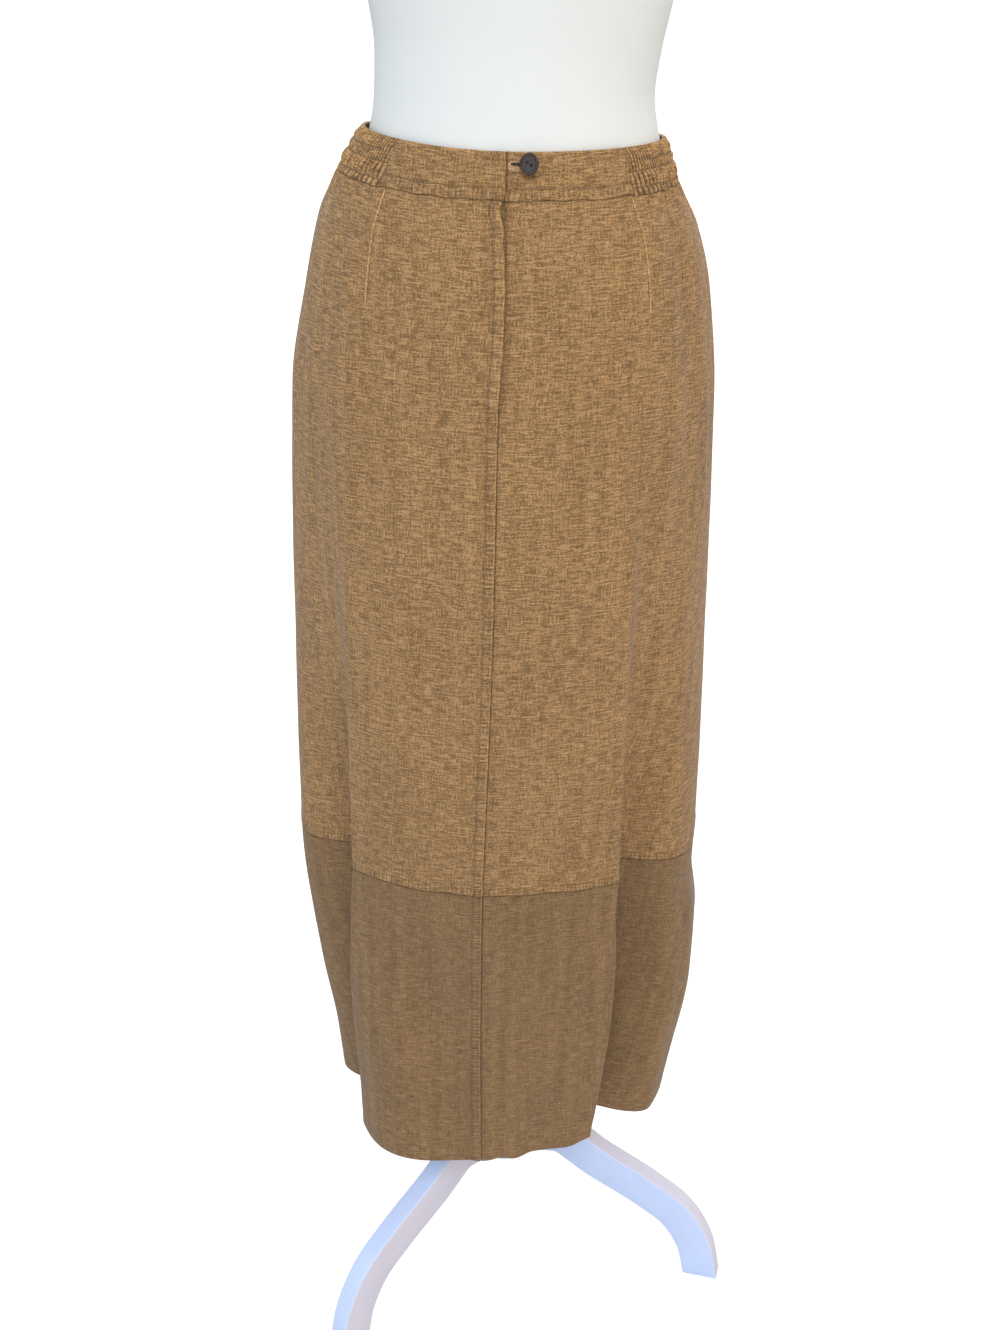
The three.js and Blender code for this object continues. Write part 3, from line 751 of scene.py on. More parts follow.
@dataclass(frozen=True)
class PaintFinish:
    """Satin paint brushed along a wooden board."""

    name: str
    slot: str
    colour: Triple
    rough: float = 0.38

    def make(self) -> bpy.types.Material:
        """Return the material."""
        material, graph, principled = shader(self.name)
        wood = graph.on_cloth()
        grain = graph.noise(graph.stretch(wood, (0.02, 0.55, 0)), 3.0, 0.6)
        brush = graph.noise(graph.stretch(wood, (0.006, 1.6, 0), (5, 2, 0)), 2.0, 0.5)
        patch = MOTTLE.place(graph, place=graph.stretch(wood, (0.012, 0.03, 0)))
        share = graph.span(graph.plus(grain, graph.times(patch["Patch"], 0.3)), 0.1, 0.9)
        mixed = graph.mix(share, tinted(self.colour, 0.95), tinted(self.colour, 1.03))
        graph.join(mixed, principled.inputs["Base Color"])
        rough = graph.span(brush, 0.2, 0.8, self.rough - 0.06, self.rough + 0.08)
        graph.join(rough, principled.inputs["Roughness"])
        height = graph.plus(graph.times(grain, 0.08), graph.times(brush, 0.05))
        graph.join(graph.bump(height), principled.inputs["Normal"])
        settle(principled, specular_ior_level=0.4)
        return material


@dataclass(frozen=True)
class MarkedFinish:
    """Thread, brass or horn, with fine marks and perhaps a cloudy figure."""

    name: str
    slot: str
    colour: Triple
    marks: Triple = (2.2, 2.2, 2.2)
    detail: float = 2.0
    tones: tuple[float, float] = (0.7, 1.25)
    relief: float = 0.06
    rough: tuple[float, float] = (0.7, 0.7)
    cloud: Triple | None = None
    metallic: float = 0.0
    specular: float = 0.5
    coat: float = 0.0

    def make(self) -> bpy.types.Material:
        """Return the material."""
        material, graph, principled = shader(self.name)
        place = graph.in_part(1 / MM)
        marks = graph.noise(graph.stretch(place, self.marks), self.detail, 0.6)
        if self.cloud:
            cloud = graph.noise(graph.stretch(place, self.cloud), 3.0, 0.6)
            share = graph.span(graph.plus(cloud, graph.times(marks, 0.3)), 0.45, 0.9)
        else:
            share = graph.span(marks, 0.3, 0.7)
        dark, light = (tinted(self.colour, tone) for tone in self.tones)
        graph.join(graph.mix(share, dark, light), principled.inputs["Base Color"])
        low, high = self.rough
        graph.join(low if low == high else graph.span(marks, 0.3, 0.7, low, high), principled.inputs["Roughness"])
        graph.join(graph.bump(graph.times(marks, self.relief)), principled.inputs["Normal"])
        settle(principled, metallic=self.metallic, specular_ior_level=self.specular, coat_weight=self.coat)
        settle(principled, coat_roughness=0.1 if self.coat else 0.03)
        return material


LINEN_COLOUR: Triple = (0.292, 0.169, 0.069)
BAND_COLOUR: Triple = (0.213, 0.127, 0.057)

LINEN_LEFT = LinenFinish("linen_back_left", "linen", LINEN_COLOUR, seed=1.0)
LINEN_RIGHT = LinenFinish("linen_back_right", "linen", LINEN_COLOUR, seed=2.0)
LINEN_FRONT = LinenFinish("linen_front", "linen", LINEN_COLOUR, seed=3.0)
LINEN_WAIST = LinenFinish("linen_waist", "linen", LINEN_COLOUR, seed=4.0, slub=0.7)
LINEN_BAND = LinenFinish("linen_lower_band", "linen_band", BAND_COLOUR, seed=5.0, slub=0.5, contrast=0.8, streak=0.6)
LINEN_TRIM = LinenFinish("linen_trim", "linen", (0.38, 0.24, 0.125), seed=6.0, slub=0.3, contrast=0.8)
TAPE = LinenFinish("zip_tape_cloth", "zip_cloth", (0.25, 0.15, 0.07), seed=7.0, slub=0.0, contrast=0.5)
THREAD = MarkedFinish("linen_thread", "linen", (0.3, 0.19, 0.1))
DARK_THREAD = MarkedFinish("dark_thread", "button", (0.05, 0.035, 0.035))
COIL = MarkedFinish("zip_coil", "zip_cloth", (0.2, 0.12, 0.06))
JERSEY = JerseyFinish("jersey_cover", "jersey", (0.73, 0.77, 0.785))
# Two copies of the one pale satin paint, tinted as painted light: the first bluish, as under the cool light from the
# left, which the pole and hub take too; the second lilac, as under the warm light from the right and above
PAINT = PaintFinish("satin_paint", "painted_wood", (0.53, 0.65, 0.95))
PAINT_WARM_LIT = PaintFinish("satin_paint_warm_lit", "painted_wood", (0.62, 0.62, 0.76))
HORN = MarkedFinish(
    "horn", "button", (0.028, 0.017, 0.0155), (1.6, 1.6, 1.6), 2.0, (0.7, 1.9), 0.03, (0.2, 0.34),
    cloud=(0.28, 0.28, 0.5), specular=0.4, coat=0.25,
)
BRASS = MarkedFinish(
    "rubbed_brass", "brass", (0.72, 0.52, 0.2), (3.0, 0.4, 0.4), 3.0, (0.75, 1.15), 0.02, (0.24, 0.42), metallic=1.0
)

Finish = LinenFinish | JerseyFinish | PaintFinish | MarkedFinish


def dress(piece: bpy.types.Object, *finishes: Finish) -> None:
    """Give a piece its finishes, each made on its first use."""
    for finish in finishes:
        made = bpy.data.materials.get(finish.name) or finish.make()
        piece.data.materials.append(made)


def mesh_piece(
    name: str,
    points: np.ndarray,
    faces: Sequence[Sequence[int]],
    uv: np.ndarray | None = None,
    seam: np.ndarray | None = None,
    sharp: float = 50.0,
) -> bpy.types.Object:
    """Make a mesh object of the part.

    Args:
        name: the piece's name.
        points: its points in mm, about the pole.
        faces: its faces, by point.
        uv: for each point, its place on the flat cloth or board, in mm.
        seam: for each point, mm along its seam, pucker share and edge tone, the painted shade and highlight at seams
            and edges.
        sharp: edges that turn by more than this many degrees stay crisp.

    Returns:
        The object, which rides on the part's only body.
    """
    mesh = bpy.data.meshes.new(name)
    mesh.from_pydata(((points + SHIFT) * MM).tolist(), [], list(map(list, faces)))
    if uv is not None:
        corners = np.empty(len(mesh.loops), np.int32)
        mesh.loops.foreach_get("vertex_index", corners)
        layer = mesh.uv_layers.new(name="cloth")
        layer.data.foreach_set("uv", (uv[corners] * MM).astype(np.float32).ravel())
    if seam is not None:
        layer = mesh.attributes.new("seam", "FLOAT_VECTOR", "POINT")
        layer.data.foreach_set("vector", seam.astype(np.float32).ravel())
    mesh.shade_smooth()
    mesh.set_sharp_from_angle(angle=math.radians(sharp))
    mesh.validate()
    piece = bpy.data.objects.new(name, mesh)
    bpy.context.scene.collection.objects.link(piece)
    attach(piece, "root")
    return piece


def grid_faces(rows: int, columns: int, first: int = 0, flip: bool = False) -> np.ndarray:
    """Return the quads of a grid of points that faces out.

    Args:
        rows: number of rows, from the top down.
        columns: points in a row, in the sense of turn.
        first: the index of the grid's first point.
        flip: face the other way.

    Returns:
        One row of four indices for each quad.
    """
    index = np.arange(rows * columns).reshape(rows, columns) + first
    quads = [index[:-1, :-1], index[1:, :-1], index[1:, 1:], index[:-1, 1:]]
    made = np.stack(quads, axis=-1).reshape(-1, 4)
    return made[:, ::-1] if flip else made


def shell_faces(rows: int, columns: int) -> np.ndarray:
    """Return the quads of a closed shell: outer grid, inner grid and rim."""
    inner = rows * columns
    outer = np.arange(rows * columns).reshape(rows, columns)
    rim = np.concatenate([outer[:, 0], outer[-1, 1:], outer[-2::-1, -1], outer[0, -2:0:-1]])
    after = np.roll(rim, -1)
    edge = np.stack([rim, rim + inner, after + inner, after], axis=-1)
    return np.concatenate([grid_faces(rows, columns), grid_faces(rows, columns, inner, True), edge])


def ring_faces(rings: int, sides: int, flip: bool = False) -> np.ndarray:
    """Return the quads between closed rings of points, as four indices each.

    Args:
        rings: how many rings there are.
        sides: points in a ring.
        flip: face the other way.

    Returns:
        The quads, ring by ring.
    """
    index = np.arange(rings * sides).reshape(rings, sides)
    after = np.roll(index, -1, axis=1)
    made = np.stack([index[:-1], after[:-1], after[1:], index[1:]], axis=-1).reshape(-1, 4)
    return made[:, [0, 3, 2, 1]] if flip else made


def ring_ends(rings: int, sides: int, flip: bool = False) -> list[list[int]]:
    """Return the two faces that close a stack of rings, first and last."""
    first, last = list(range(sides)), list(range((rings - 1) * sides, rings * sides))
    return [first, last[::-1]] if flip else [first[::-1], last]


def squared(angle: np.ndarray, power: float) -> tuple[np.ndarray, ...]:
    """Return the two sides of a rounded square at each angle, from -1 to 1."""
    return tuple(np.sign(wave) * np.abs(wave) ** power for wave in (np.cos(angle), np.sin(angle)))


def shell_piece(
    name: str, outer: np.ndarray, inner: np.ndarray, flat: np.ndarray, seam: np.ndarray, finish: LinenFinish
) -> bpy.types.Object:
    """Make a piece of cloth as a thin closed shell.

    Args:
        name: the piece's name.
        outer: rows and columns of points on its outside.
        inner: the same on its inside.
        flat: their places on the flat cloth.
        seam: their mm along a seam, pucker shares and edge tones, the painted shade and highlight at seams and edges.
        finish: the cloth.

    Returns:
        The piece.
    """
    points = np.concatenate([outer.reshape(-1, 3), inner.reshape(-1, 3)])
    maps = [np.tile(rows.reshape(-1, rows.shape[-1]), (2, 1)) for rows in (flat, seam)]
    piece = mesh_piece(name, points, shell_faces(*outer.shape[:2]), *maps)
    dress(piece, finish)
    return piece


def lengths(points: np.ndarray) -> np.ndarray:
    """Return the running length along the last row of points."""
    steps = np.linalg.norm(np.diff(points, axis=-2), axis=-1)
    start = np.zeros(steps.shape[:-1] + (1,))
    return np.concatenate([start, np.cumsum(steps, axis=-1)], axis=-1)


def lap_share(level: np.ndarray) -> np.ndarray:
    """Return how much of the zip's lap stands at a level."""
    return smoothstep(level, LAP_END - LAP_FADE, LAP_END)


def lap_notch(level: np.ndarray) -> np.ndarray:
    """Return how far the lap's soft free edge is drawn in at a level."""
    drawn = 3.1 * hump((level - 1199.0) / 15.0) + 1.0 * hump((level - 1176.0) / 12.0)
    wave = 0.35 * uneven(level / 7.0, 4.0) * smoothstep(level, 1060.0, 1090.0)
    return (drawn + wave + 0.35) * lap_share(level)


def lap_out(inside: np.ndarray, level: np.ndarray, wall: float) -> np.ndarray:
    """Return how far the lap lifts the left back cloth over the zip.

    Args:
        inside: distance left of the centre back line.
        level: height of each point.
        wall: how thick the cloth is.

    Returns:
        The lift, with its topstitch and its rounded free edge.
    """
    over_zip = 1.0 - smoothstep(inside, LAP_WIDTH - LAP_SLOPE, LAP_WIDTH + 0.6)
    over_pull = 1.1 * hump((level - 1203.8) / 26.0)
    lift = over_zip * (wall + LAP_CLEAR + over_pull + 0.25 * uneven(level / 9.0, 6.0))
    sink = -0.45 * np.exp(-(((inside - LAP_WIDTH) / 1.2) ** 2))
    edge = -0.6 * np.clip(1.0 - (inside - lap_notch(level)) / 1.4, 0.0, 1.0) ** 2
    return lap_share(level) * (lift + sink + edge)


def strip(distance: np.ndarray, width: float) -> np.ndarray:
    """Return the share of puckers between a seam and its topstitch."""
    return smoothstep(distance, 0.8, 2.2) * (1.0 - smoothstep(distance, width - 1.6, width + 0.4))


@dataclass
class ClothPiece:
    """A cut and sewn piece, as a thin shell on the skirt's form."""

    node: str
    form: SkirtForm
    finish: LinenFinish
    wall: float = CLOTH_WALL
    hold: Hold = Hold.HUNG
    fullness: float = 1.0
    hangs_on: tuple[str, ...] = ("dress_form_torso",)
    trims: list[bpy.types.Object] = field(default_factory=list)

    def grid(self) -> tuple[np.ndarray, np.ndarray]:
        """Return the turns and levels of the piece's rows and columns."""
        raise NotImplementedError

    def out(self, turn: np.ndarray, level: np.ndarray) -> np.ndarray:
        """Return the relief of the piece's outside."""
        raise NotImplementedError

    def depth(self, turn: np.ndarray, level: np.ndarray) -> np.ndarray:
        """Return the relief of the piece's inside."""
        return self.out(turn, level) - self.wall

    def seam(self, turn: np.ndarray, level: np.ndarray) -> np.ndarray:
        """Return mm along the nearest seam, pucker share and edge tone, the painted shade and highlight at seams and
        edges.
        """
        return np.zeros(turn.shape + (3,))

    def datum(self, turns: np.ndarray, levels: np.ndarray) -> tuple[int, np.ndarray | float]:
        """Return the column that the cloth is measured from, and its own place."""
        return turns.shape[1] // 2, 0.0

    def build(self) -> bpy.types.Object:
        """Return the finished piece, as a thin shell of cloth."""
        turns, levels = self.grid()
        outer = self.form.cloth(turns, levels, self.out(turns, levels))
        inner = self.form.cloth(turns, levels, self.depth(turns, levels))
        plain = self.form.surface(turns, levels)
        across = lengths(plain)
        column, zero = self.datum(turns, levels)
        across = across - across[:, column][:, None] + zero
        down = lengths(np.swapaxes(plain, 0, 1))[turns.shape[1] // 2]
        flat = np.stack([across, np.broadcast_to(-down[:, None], across.shape)], axis=-1)
        seam = self.seam(turns, levels)
        piece = shell_piece(f"{self.node}_cloth", outer, inner, flat, seam, self.finish)
        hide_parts(self.node)
        self.trims.extend(self.sewing())
        return piece

    def sewing(self) -> list[bpy.types.Object]:
        """Return the lines of stitches on the piece."""
        return []

    def stitch(self, name: str, *lines: tuple[np.ndarray, np.ndarray | float]) -> bpy.types.Object:
        """Sew lines of stitches on the piece.

        Args:
            name: the name of the sewing.
            lines: the turns and the levels that each line follows.

        Returns:
            All the stitches, as one piece.
        """
        runs = []
        for line in lines:
            turn, level = np.broadcast_arrays(*line)
            points = self.form.cloth(turn, level, self.out(turn, level) + STITCH_OUT)
            runs.append((points, self.form.normal(turn, level)))
        return stitch_piece(name, runs, THREAD)


def interpolate(place: float, run: np.ndarray, values: np.ndarray) -> np.ndarray:
    """Return the point or direction at a place along a line."""
    return np.array([np.interp(place, run, column) for column in values.T])


def stitch_piece(
    name: str,
    runs: Sequence[tuple[np.ndarray, np.ndarray]],
    finish: MarkedFinish,
    pitch: float = 3.1,
    thick: float = 0.3,
    share: float = 0.74,
) -> bpy.types.Object:
    """Make runs of stitches.

    Args:
        name: the name of the sewing.
        runs: each run's points and the cloth's normals there.
        finish: the thread.
        pitch: length of a stitch with the space after it.
        thick: half the thread's thickness.
        share: how much of the pitch shows as thread.

    Returns:
        All the stitches, as one piece.
    """
    sides, sink, look = 6, 0.25, 0.8
    sense = np.linspace(0, 2 * np.pi, sides, endpoint=False)
    rings = ((-0.34, 0.85, 0.0), (0.0, 1.0, 0.16), (0.34, 0.85, 0.0))
    last = len(rings) * sides + 1
    long = pitch * share
    points, faces = [], []
    for line, normals in runs:
        run = lengths(line)
        count = max(1, int(run[-1] / pitch))
        for middle in (np.arange(count) + 0.5) * run[-1] / count:
            place, up = interpolate(middle, run, line), interpolate(middle, run, normals)
            along = interpolate(middle + look, run, line) - interpolate(middle - look, run, line)
            along /= np.linalg.norm(along)
            side = np.cross(up, along)
            side /= np.linalg.norm(side)
            up = np.cross(along, side)
            first = len(points) * (last + 1)
            body = [place - along * long / 2 - up * sink]
            for shift, wide, rise in rings:
                ring = place + along * shift * long + up * rise
                body += [ring + (side * math.cos(angle) + up * math.sin(angle)) * thick * wide for angle in sense]
            body.append(place + along * long / 2 - up * sink)
            points.append(np.array(body))
            for turn in range(sides):
                after = (turn + 1) % sides
                faces.append((first, first + 1 + after, first + 1 + turn))
                for low in (first + 1, first + 1 + sides):
                    faces.append((low + turn, low + after, low + sides + after, low + sides + turn))
                faces.append((first + last, first + last - sides + turn, first + last - sides + after))
    piece = mesh_piece(name, np.concatenate(points), faces, sharp=80.0)
    dress(piece, finish)
    return piece


@dataclass
class BackPiece(ClothPiece):
    """A piece that may end at the centre back line."""

    side: Side | None = None

    def datum(self, turns: np.ndarray, levels: np.ndarray) -> tuple[int, np.ndarray | float]:
        """Return the centre back edge's column and its distance right of the line."""
        if self.side is None:
            return super().datum(turns, levels)
        column = -1 if self.side is Side.LEFT else 0
        return column, -self.form.inside(turns[:, column], levels[:, column])[:, None]

    def left_of(self, level: np.ndarray, inside: np.ndarray | float) -> np.ndarray:
        """Return the turns of a line at a distance left of the centre back."""
        return self.form.centre(level) - self.form.turn_of(1.0, level) * inside


def allowance(
    name: str, form: SkirtForm, turns: np.ndarray, levels: np.ndarray, finish: LinenFinish
) -> bpy.types.Object:
    """Make the pressed allowance behind a seam, which closes the seam from within.

    Args:
        name: the piece's name.
        form: the skirt's form.
        turns: the turns of its columns, or of its rows and columns.
        levels: the levels of its rows.
        finish: the cloth.

    Returns:
        The allowance, thinner than the cloth in front of it.
    """
    turns, levels = np.broadcast_arrays(turns, levels)
    behind = form.crease_reach(turns, levels) - CLOTH_WALL - 0.5
    outer, inner = (form.cloth(turns, levels, behind - depth) for depth in (0.0, 0.7))
    flat = np.stack([turns * DEGREE, levels], axis=-1)
    tone = np.zeros(turns.shape + (3,))
    # The allowance is painted dark, as the shade behind the seam
    tone[..., 2] = -1.2
    return shell_piece(name, outer, inner, flat, tone, finish)


@dataclass
class BackPanel(BackPiece):
    """A back panel, from the side to the centre back line."""

    fine: int = 25
    wide: float = 2.8

    def rows(self) -> np.ndarray:
        """Return the panel's levels, close together at its seams."""
        top, low = WAIST_SEAM - SEAM_GAP / 2, LOWER_SEAM + SEAM_GAP / 2
        return stretches((top, 1168.0, 1062.0, 1030.0, 584.0, low), (24, 42, 22, 150, 14))

    def grid(self) -> tuple[np.ndarray, np.ndarray]:
        """Return the turns and levels of the panel."""
        return back_turns(self.form, self.rows(), self.side, self.fine, 90.0, self.wide)

    def out(self, turn: np.ndarray, level: np.ndarray) -> np.ndarray:
        """Return the relief of the panel's outside."""
        inside = self.form.inside(turn, level)
        relief = panel_relief(self.form, turn, level)
        if self.side is Side.LEFT:
            below = (1.0 - lap_share(level)) * ledge(inside - SEAM_GAP / 2, TOPSTITCH_IN, 0.55)
            return relief + lap_out(inside, level, self.wall) + below
        roll = -0.75 * np.clip(1.0 + (inside - SEAM_GAP / 2) / 1.5, 0.0, 1.0) ** 2
        return relief + (1.0 - lap_share(level)) * roll

    def seam(self, turn: np.ndarray, level: np.ndarray) -> np.ndarray:
        """Return the puckers and the painted shade and highlight at the panel's seams and edges."""
        inside = self.form.inside(turn, level)
        return back_seams(inside, level, self.side, level - LOWER_SEAM)

    def sewing(self) -> list[bpy.types.Object]:
        """Return the topstitches of the lap, the seams and the dart."""
        end, _ = self.form.centre_at(LOWER_SEAM + TOPSTITCH_IN)
        edge = -90.0 if self.side is Side.LEFT else 90.0
        lower = (spread(edge, end, 200), LOWER_SEAM + TOPSTITCH_IN)
        made = [self.stitch(f"lower_topstitch_back_{self.side.value}", lower)]
        if self.side is Side.LEFT:
            level = spread(WAIST_SEAM - 1.0, LOWER_SEAM + 1.0, 420)
            inside = TOPSTITCH_IN + 0.9 * lap_share(level)
            made.append(self.stitch("centre_topstitch", (self.left_of(level, inside), level)))
            made.append(self.lap_bar())
        made.append(self.dart())
        return made + self.allowances(min(edge, 0.0))

    def allowances(self, start: float) -> list[bpy.types.Object]:
        """Return the allowances behind the panel's lower seam and the centre seam."""
        name = f"lower_allowance_back_{self.side.value}"
        made = [allowance(name, self.form, spread(start, start + 90.0, 100), LOWER_ALLOWANCE, self.finish)]
        if self.side is Side.LEFT:
            levels = spread(LAP_END + 4.0, HEM + 2.0, 200)[:, None]
            turns = self.form.centre(levels) + self.form.turn_of(1.0, levels) * spread(-ALLOWANCE, ALLOWANCE, 8)
            made.append(allowance("centre_allowance", self.form, turns, levels, self.finish))
        return made

    def lap_bar(self) -> bpy.types.Object:
        """Return the short bar of stitches that closes the lap."""
        level = LAP_END - 1.0
        centre, unit = self.form.centre_at(level)
        turn = centre - unit * spread(0.8, TOPSTITCH_IN + 1.4, 12)
        return self.stitch("lap_bar", *((turn, level + up) for up in (-0.45, 0.45)))

    def dart(self) -> bpy.types.Object:
        """Return the dart's fine folded edge."""
        (top, low), half = DARTS[self.side], 1.6
        level = spread(WAIST_SEAM - 2.0, DART_END, 60)[:, None]
        share = (level[0] - level) / (level[0] - level[-1])
        middle = top + (low - top) * share + 0.05 * uneven(level / 6.0, 3.0)
        across = spread(-half, half, 10)
        turn, levels = np.broadcast_arrays(middle + across / DEGREE, level)
        taper = 1.0 - smoothstep(share, 0.8, 1.0)
        plain = self.out(turn, levels)
        outer = self.form.cloth(turn, levels, plain + (1.0 - (across / half) ** 2) * (0.7 * taper))
        inner = self.form.cloth(turn, levels, plain - 0.3)
        flat = np.stack(np.broadcast_arrays(across, -levels), axis=-1)
        tone = np.zeros(turn.shape + (3,))
        # Painted highlight along the dart's fold and painted shade on both sides of it
        tone[..., 2] = np.where(np.abs(across) < 1.0, 1.2, -1.1)
        return shell_piece(f"dart_{self.side.value}", outer, inner, flat, tone, self.finish)


def back_turns(
    form: SkirtForm, level: np.ndarray, side: Side, fine: int, reach: float, wide: float
) -> tuple[np.ndarray, np.ndarray]:
    """Lay out the columns of a piece that ends at the centre back line.

    Args:
        form: the skirt's form.
        level: the rows' levels.
        side: which side of the centre the piece is on.
        fine: how many columns, a millimetre apart, lie at the centre.
        reach: the turn at which the piece ends, without its sign.
        wide: the pitch of the other columns.

    Returns:
        Turns and levels, one row for each level.
    """
    level = level[:, None]
    unit = form.turn_of(1.0, level)
    near = np.arange(fine + 1, dtype=float)
    if side is Side.LEFT:
        sense, drawn = -1.0, lap_notch(level)
    else:
        sense, drawn = 1.0, -ZIP_UNDERLAP * smoothstep(level, LAP_END + 1.0, LAP_END + 1.0 + LAP_FADE)
    close = form.centre(level) + sense * unit * (SEAM_GAP / 2 + drawn * (1.0 - near / fine) + near)
    far = sense * (reach - unit * SEAM_GAP / 2)
    steps = spread(0.0, 1.0, int(reach * 3.1 / wide))[1:]
    turns = np.concatenate([close, close[:, -1:] + (far - close[:, -1:]) * steps], axis=1)
    if side is Side.LEFT:
        turns = turns[:, ::-1]
    return turns, np.broadcast_to(level, turns.shape)


def panel_relief(form: SkirtForm, turn: np.ndarray, level: np.ndarray) -> np.ndarray:
    """Return the relief that all three panels share."""
    drop = WAIST_SEAM - level
    at_elastic = elastic_share(turn)
    fall = 26.0 + 12.0 * uneven(turn / 2.3, 3.0)
    gathers = at_elastic * 1.15 * (1.0 - smoothstep(drop / fall, 0.1, 1.0))
    wave = np.sin(turn * 2 * np.pi / 3.6 + 0.9 * uneven(turn / 3.0, 7.0))
    small = (1.0 - at_elastic) * 0.3 * (1.0 - smoothstep(drop, 1.0, 17.0))
    ripple = np.sin(turn * 2 * np.pi / 3.1 + 1.3 * uneven(turn / 2.0, 1.0))
    roll = -0.55 * np.clip(1.0 - drop / 1.5, 0.0, 1.0) ** 2
    lower = ledge(level - LOWER_SEAM - SEAM_GAP / 2, TOPSTITCH_IN, 0.5)
    hush = smoothstep(drop, 0.0, 12.0) * smoothstep(level - LOWER_SEAM, 0.0, 14.0)
    soft = form.crease_reach(turn, level) + form.ease(turn, level) * hush
    return gathers * wave + small * ripple + roll + lower + soft


def elastic_share(turn: np.ndarray) -> np.ndarray:
    """Return 1 under the elastic sides and 0 under the flat waistband."""
    round_turn = np.mod(turn + 90.0, 360.0) - 90.0
    right = smoothstep(round_turn, FLAT_BACK_RIGHT, FLAT_BACK_RIGHT + 5)
    right = right * (1 - smoothstep(round_turn, FLAT_FRONT_RIGHT - 5, FLAT_FRONT_RIGHT))
    left = smoothstep(round_turn, FLAT_FRONT_LEFT, FLAT_FRONT_LEFT + 5)
    left_back = 1 - smoothstep(round_turn, FLAT_BACK_LEFT - 5, FLAT_BACK_LEFT)
    return np.maximum(right, np.maximum(left, left_back))


def back_seams(inside: np.ndarray, level: np.ndarray, side: Side, over_lower: np.ndarray) -> np.ndarray:
    """Return puckers and edge tones, the painted shade and highlight at seams and edges, of a back piece.

    Args:
        inside: distance left of the centre back line.
        level: height of each point.
        side: the piece's side.
        over_lower: distance above the piece's lower seam, or below zero.

    Returns:
        For each point: mm along its seam, pucker share and edge tone, the painted shade and highlight.
    """
    if side is Side.LEFT:
        edge = inside - SEAM_GAP / 2 - lap_notch(level)
        centre = strip(edge, TOPSTITCH_IN) * (1.0 - 0.55 * lap_share(level))
        # Painted shade at the left edge, a painted highlight on its rolled edge and painted shade at the topstitch
        tone = np.where(edge < 0.6, -0.5, np.where(edge < 1.7, 0.85, 0.0))
        tone = tone - 0.8 * np.exp(-(((edge - TOPSTITCH_IN) / 0.9) ** 2))
    else:
        edge = SEAM_GAP / 2 - inside
        centre = np.zeros_like(edge)
        # Painted shade in the seam's gap at the right edge
        tone = np.where(edge < 0.6, -0.9, 0.0) - 0.35 * np.exp(-np.abs(edge) / 2.0)
        # Painted shadow that the lap casts on the right cloth, deepest near the pull
        depth = 0.95 + 0.6 * hump((level - 1188.0) / 40.0)
        tone = tone * (1.0 - lap_share(level)) - depth * lap_share(level) * np.exp(-np.abs(edge) / 2.8)
    lower = strip(over_lower, TOPSTITCH_IN)
    tone = tone + painted_lower_seam_light(over_lower)
    along = np.where(lower > centre, inside, level)
    return np.stack([along, np.maximum(centre, lower), np.clip(tone, -1, 1)], axis=-1)


def painted_lower_seam_light(over_lower: np.ndarray) -> np.ndarray:
    """Return the painted light at a seam: shade at the seam and under its topstitch, highlights on its turned edge
    and above the topstitch, and shade that deepens towards the seam.
    """
    edge = np.where(np.abs(over_lower) < 0.7, -0.7, 0.0)
    turned = np.where((over_lower >= 0.7) & (over_lower < 2.0), 0.45, 0.0)
    topstitch_shade = -0.45 * np.exp(-(((over_lower - TOPSTITCH_IN + 0.7) / 0.7) ** 2))
    lit = 0.5 * np.exp(-(((over_lower - TOPSTITCH_IN - 0.8) / 0.8) ** 2))
    # The last term is painted shade that darkens the cloth over the 280 mm above the seam
    return edge + turned + topstitch_shade + lit - 0.16 * (1.0 - smoothstep(over_lower, 0.0, 280.0))


@dataclass
class FrontPanel(ClothPiece):
    """The front panel, from side to side."""

    wide: float = 4.4

    def grid(self) -> tuple[np.ndarray, np.ndarray]:
        """Return the turns and levels of the panel."""
        top, low = WAIST_SEAM - SEAM_GAP / 2, LOWER_SEAM + SEAM_GAP / 2
        levels = stretches((top, 1165.0, 584.0, low), (18, 140, 11))
        return side_turns(self.form, levels, 90.0, 270.0, self.wide)

    def out(self, turn: np.ndarray, level: np.ndarray) -> np.ndarray:
        """Return the relief of the panel's outside."""
        return panel_relief(self.form, turn, level)

    def seam(self, turn: np.ndarray, level: np.ndarray) -> np.ndarray:
        """Return the puckers and the painted shade and highlight at the panel's seams and edges."""
        over = level - LOWER_SEAM
        return np.stack([turn * DEGREE, strip(over, TOPSTITCH_IN), painted_lower_seam_light(over)], axis=-1)

    def sewing(self) -> list[bpy.types.Object]:
        """Return the topstitch above the lower seam."""
        turn = spread(90.0, 270.0, 300)
        return [
            self.stitch("lower_topstitch_front", (turn, LOWER_SEAM + TOPSTITCH_IN)),
            allowance("lower_allowance_front", self.form, turn, LOWER_ALLOWANCE, self.finish),
        ]


def side_turns(
    form: SkirtForm, level: np.ndarray, start: float, end: float, wide: float
) -> tuple[np.ndarray, np.ndarray]:
    """Lay out even columns between two turns, clear of the seams.

    Args:
        form: the skirt's form.
        level: the rows' levels.
        start: the turn of the first edge.
        end: the turn of the last edge.
        wide: the pitch of the columns.

    Returns:
        Turns and levels, one row for each level.
    """
    gap = form.turn_of(SEAM_GAP / 2, level)[:, None]
    turns = start + gap + (end - start - 2 * gap) * spread(0.0, 1.0, int((end - start) * 3.0 / wide))
    return turns, np.broadcast_to(level[:, None], turns.shape)


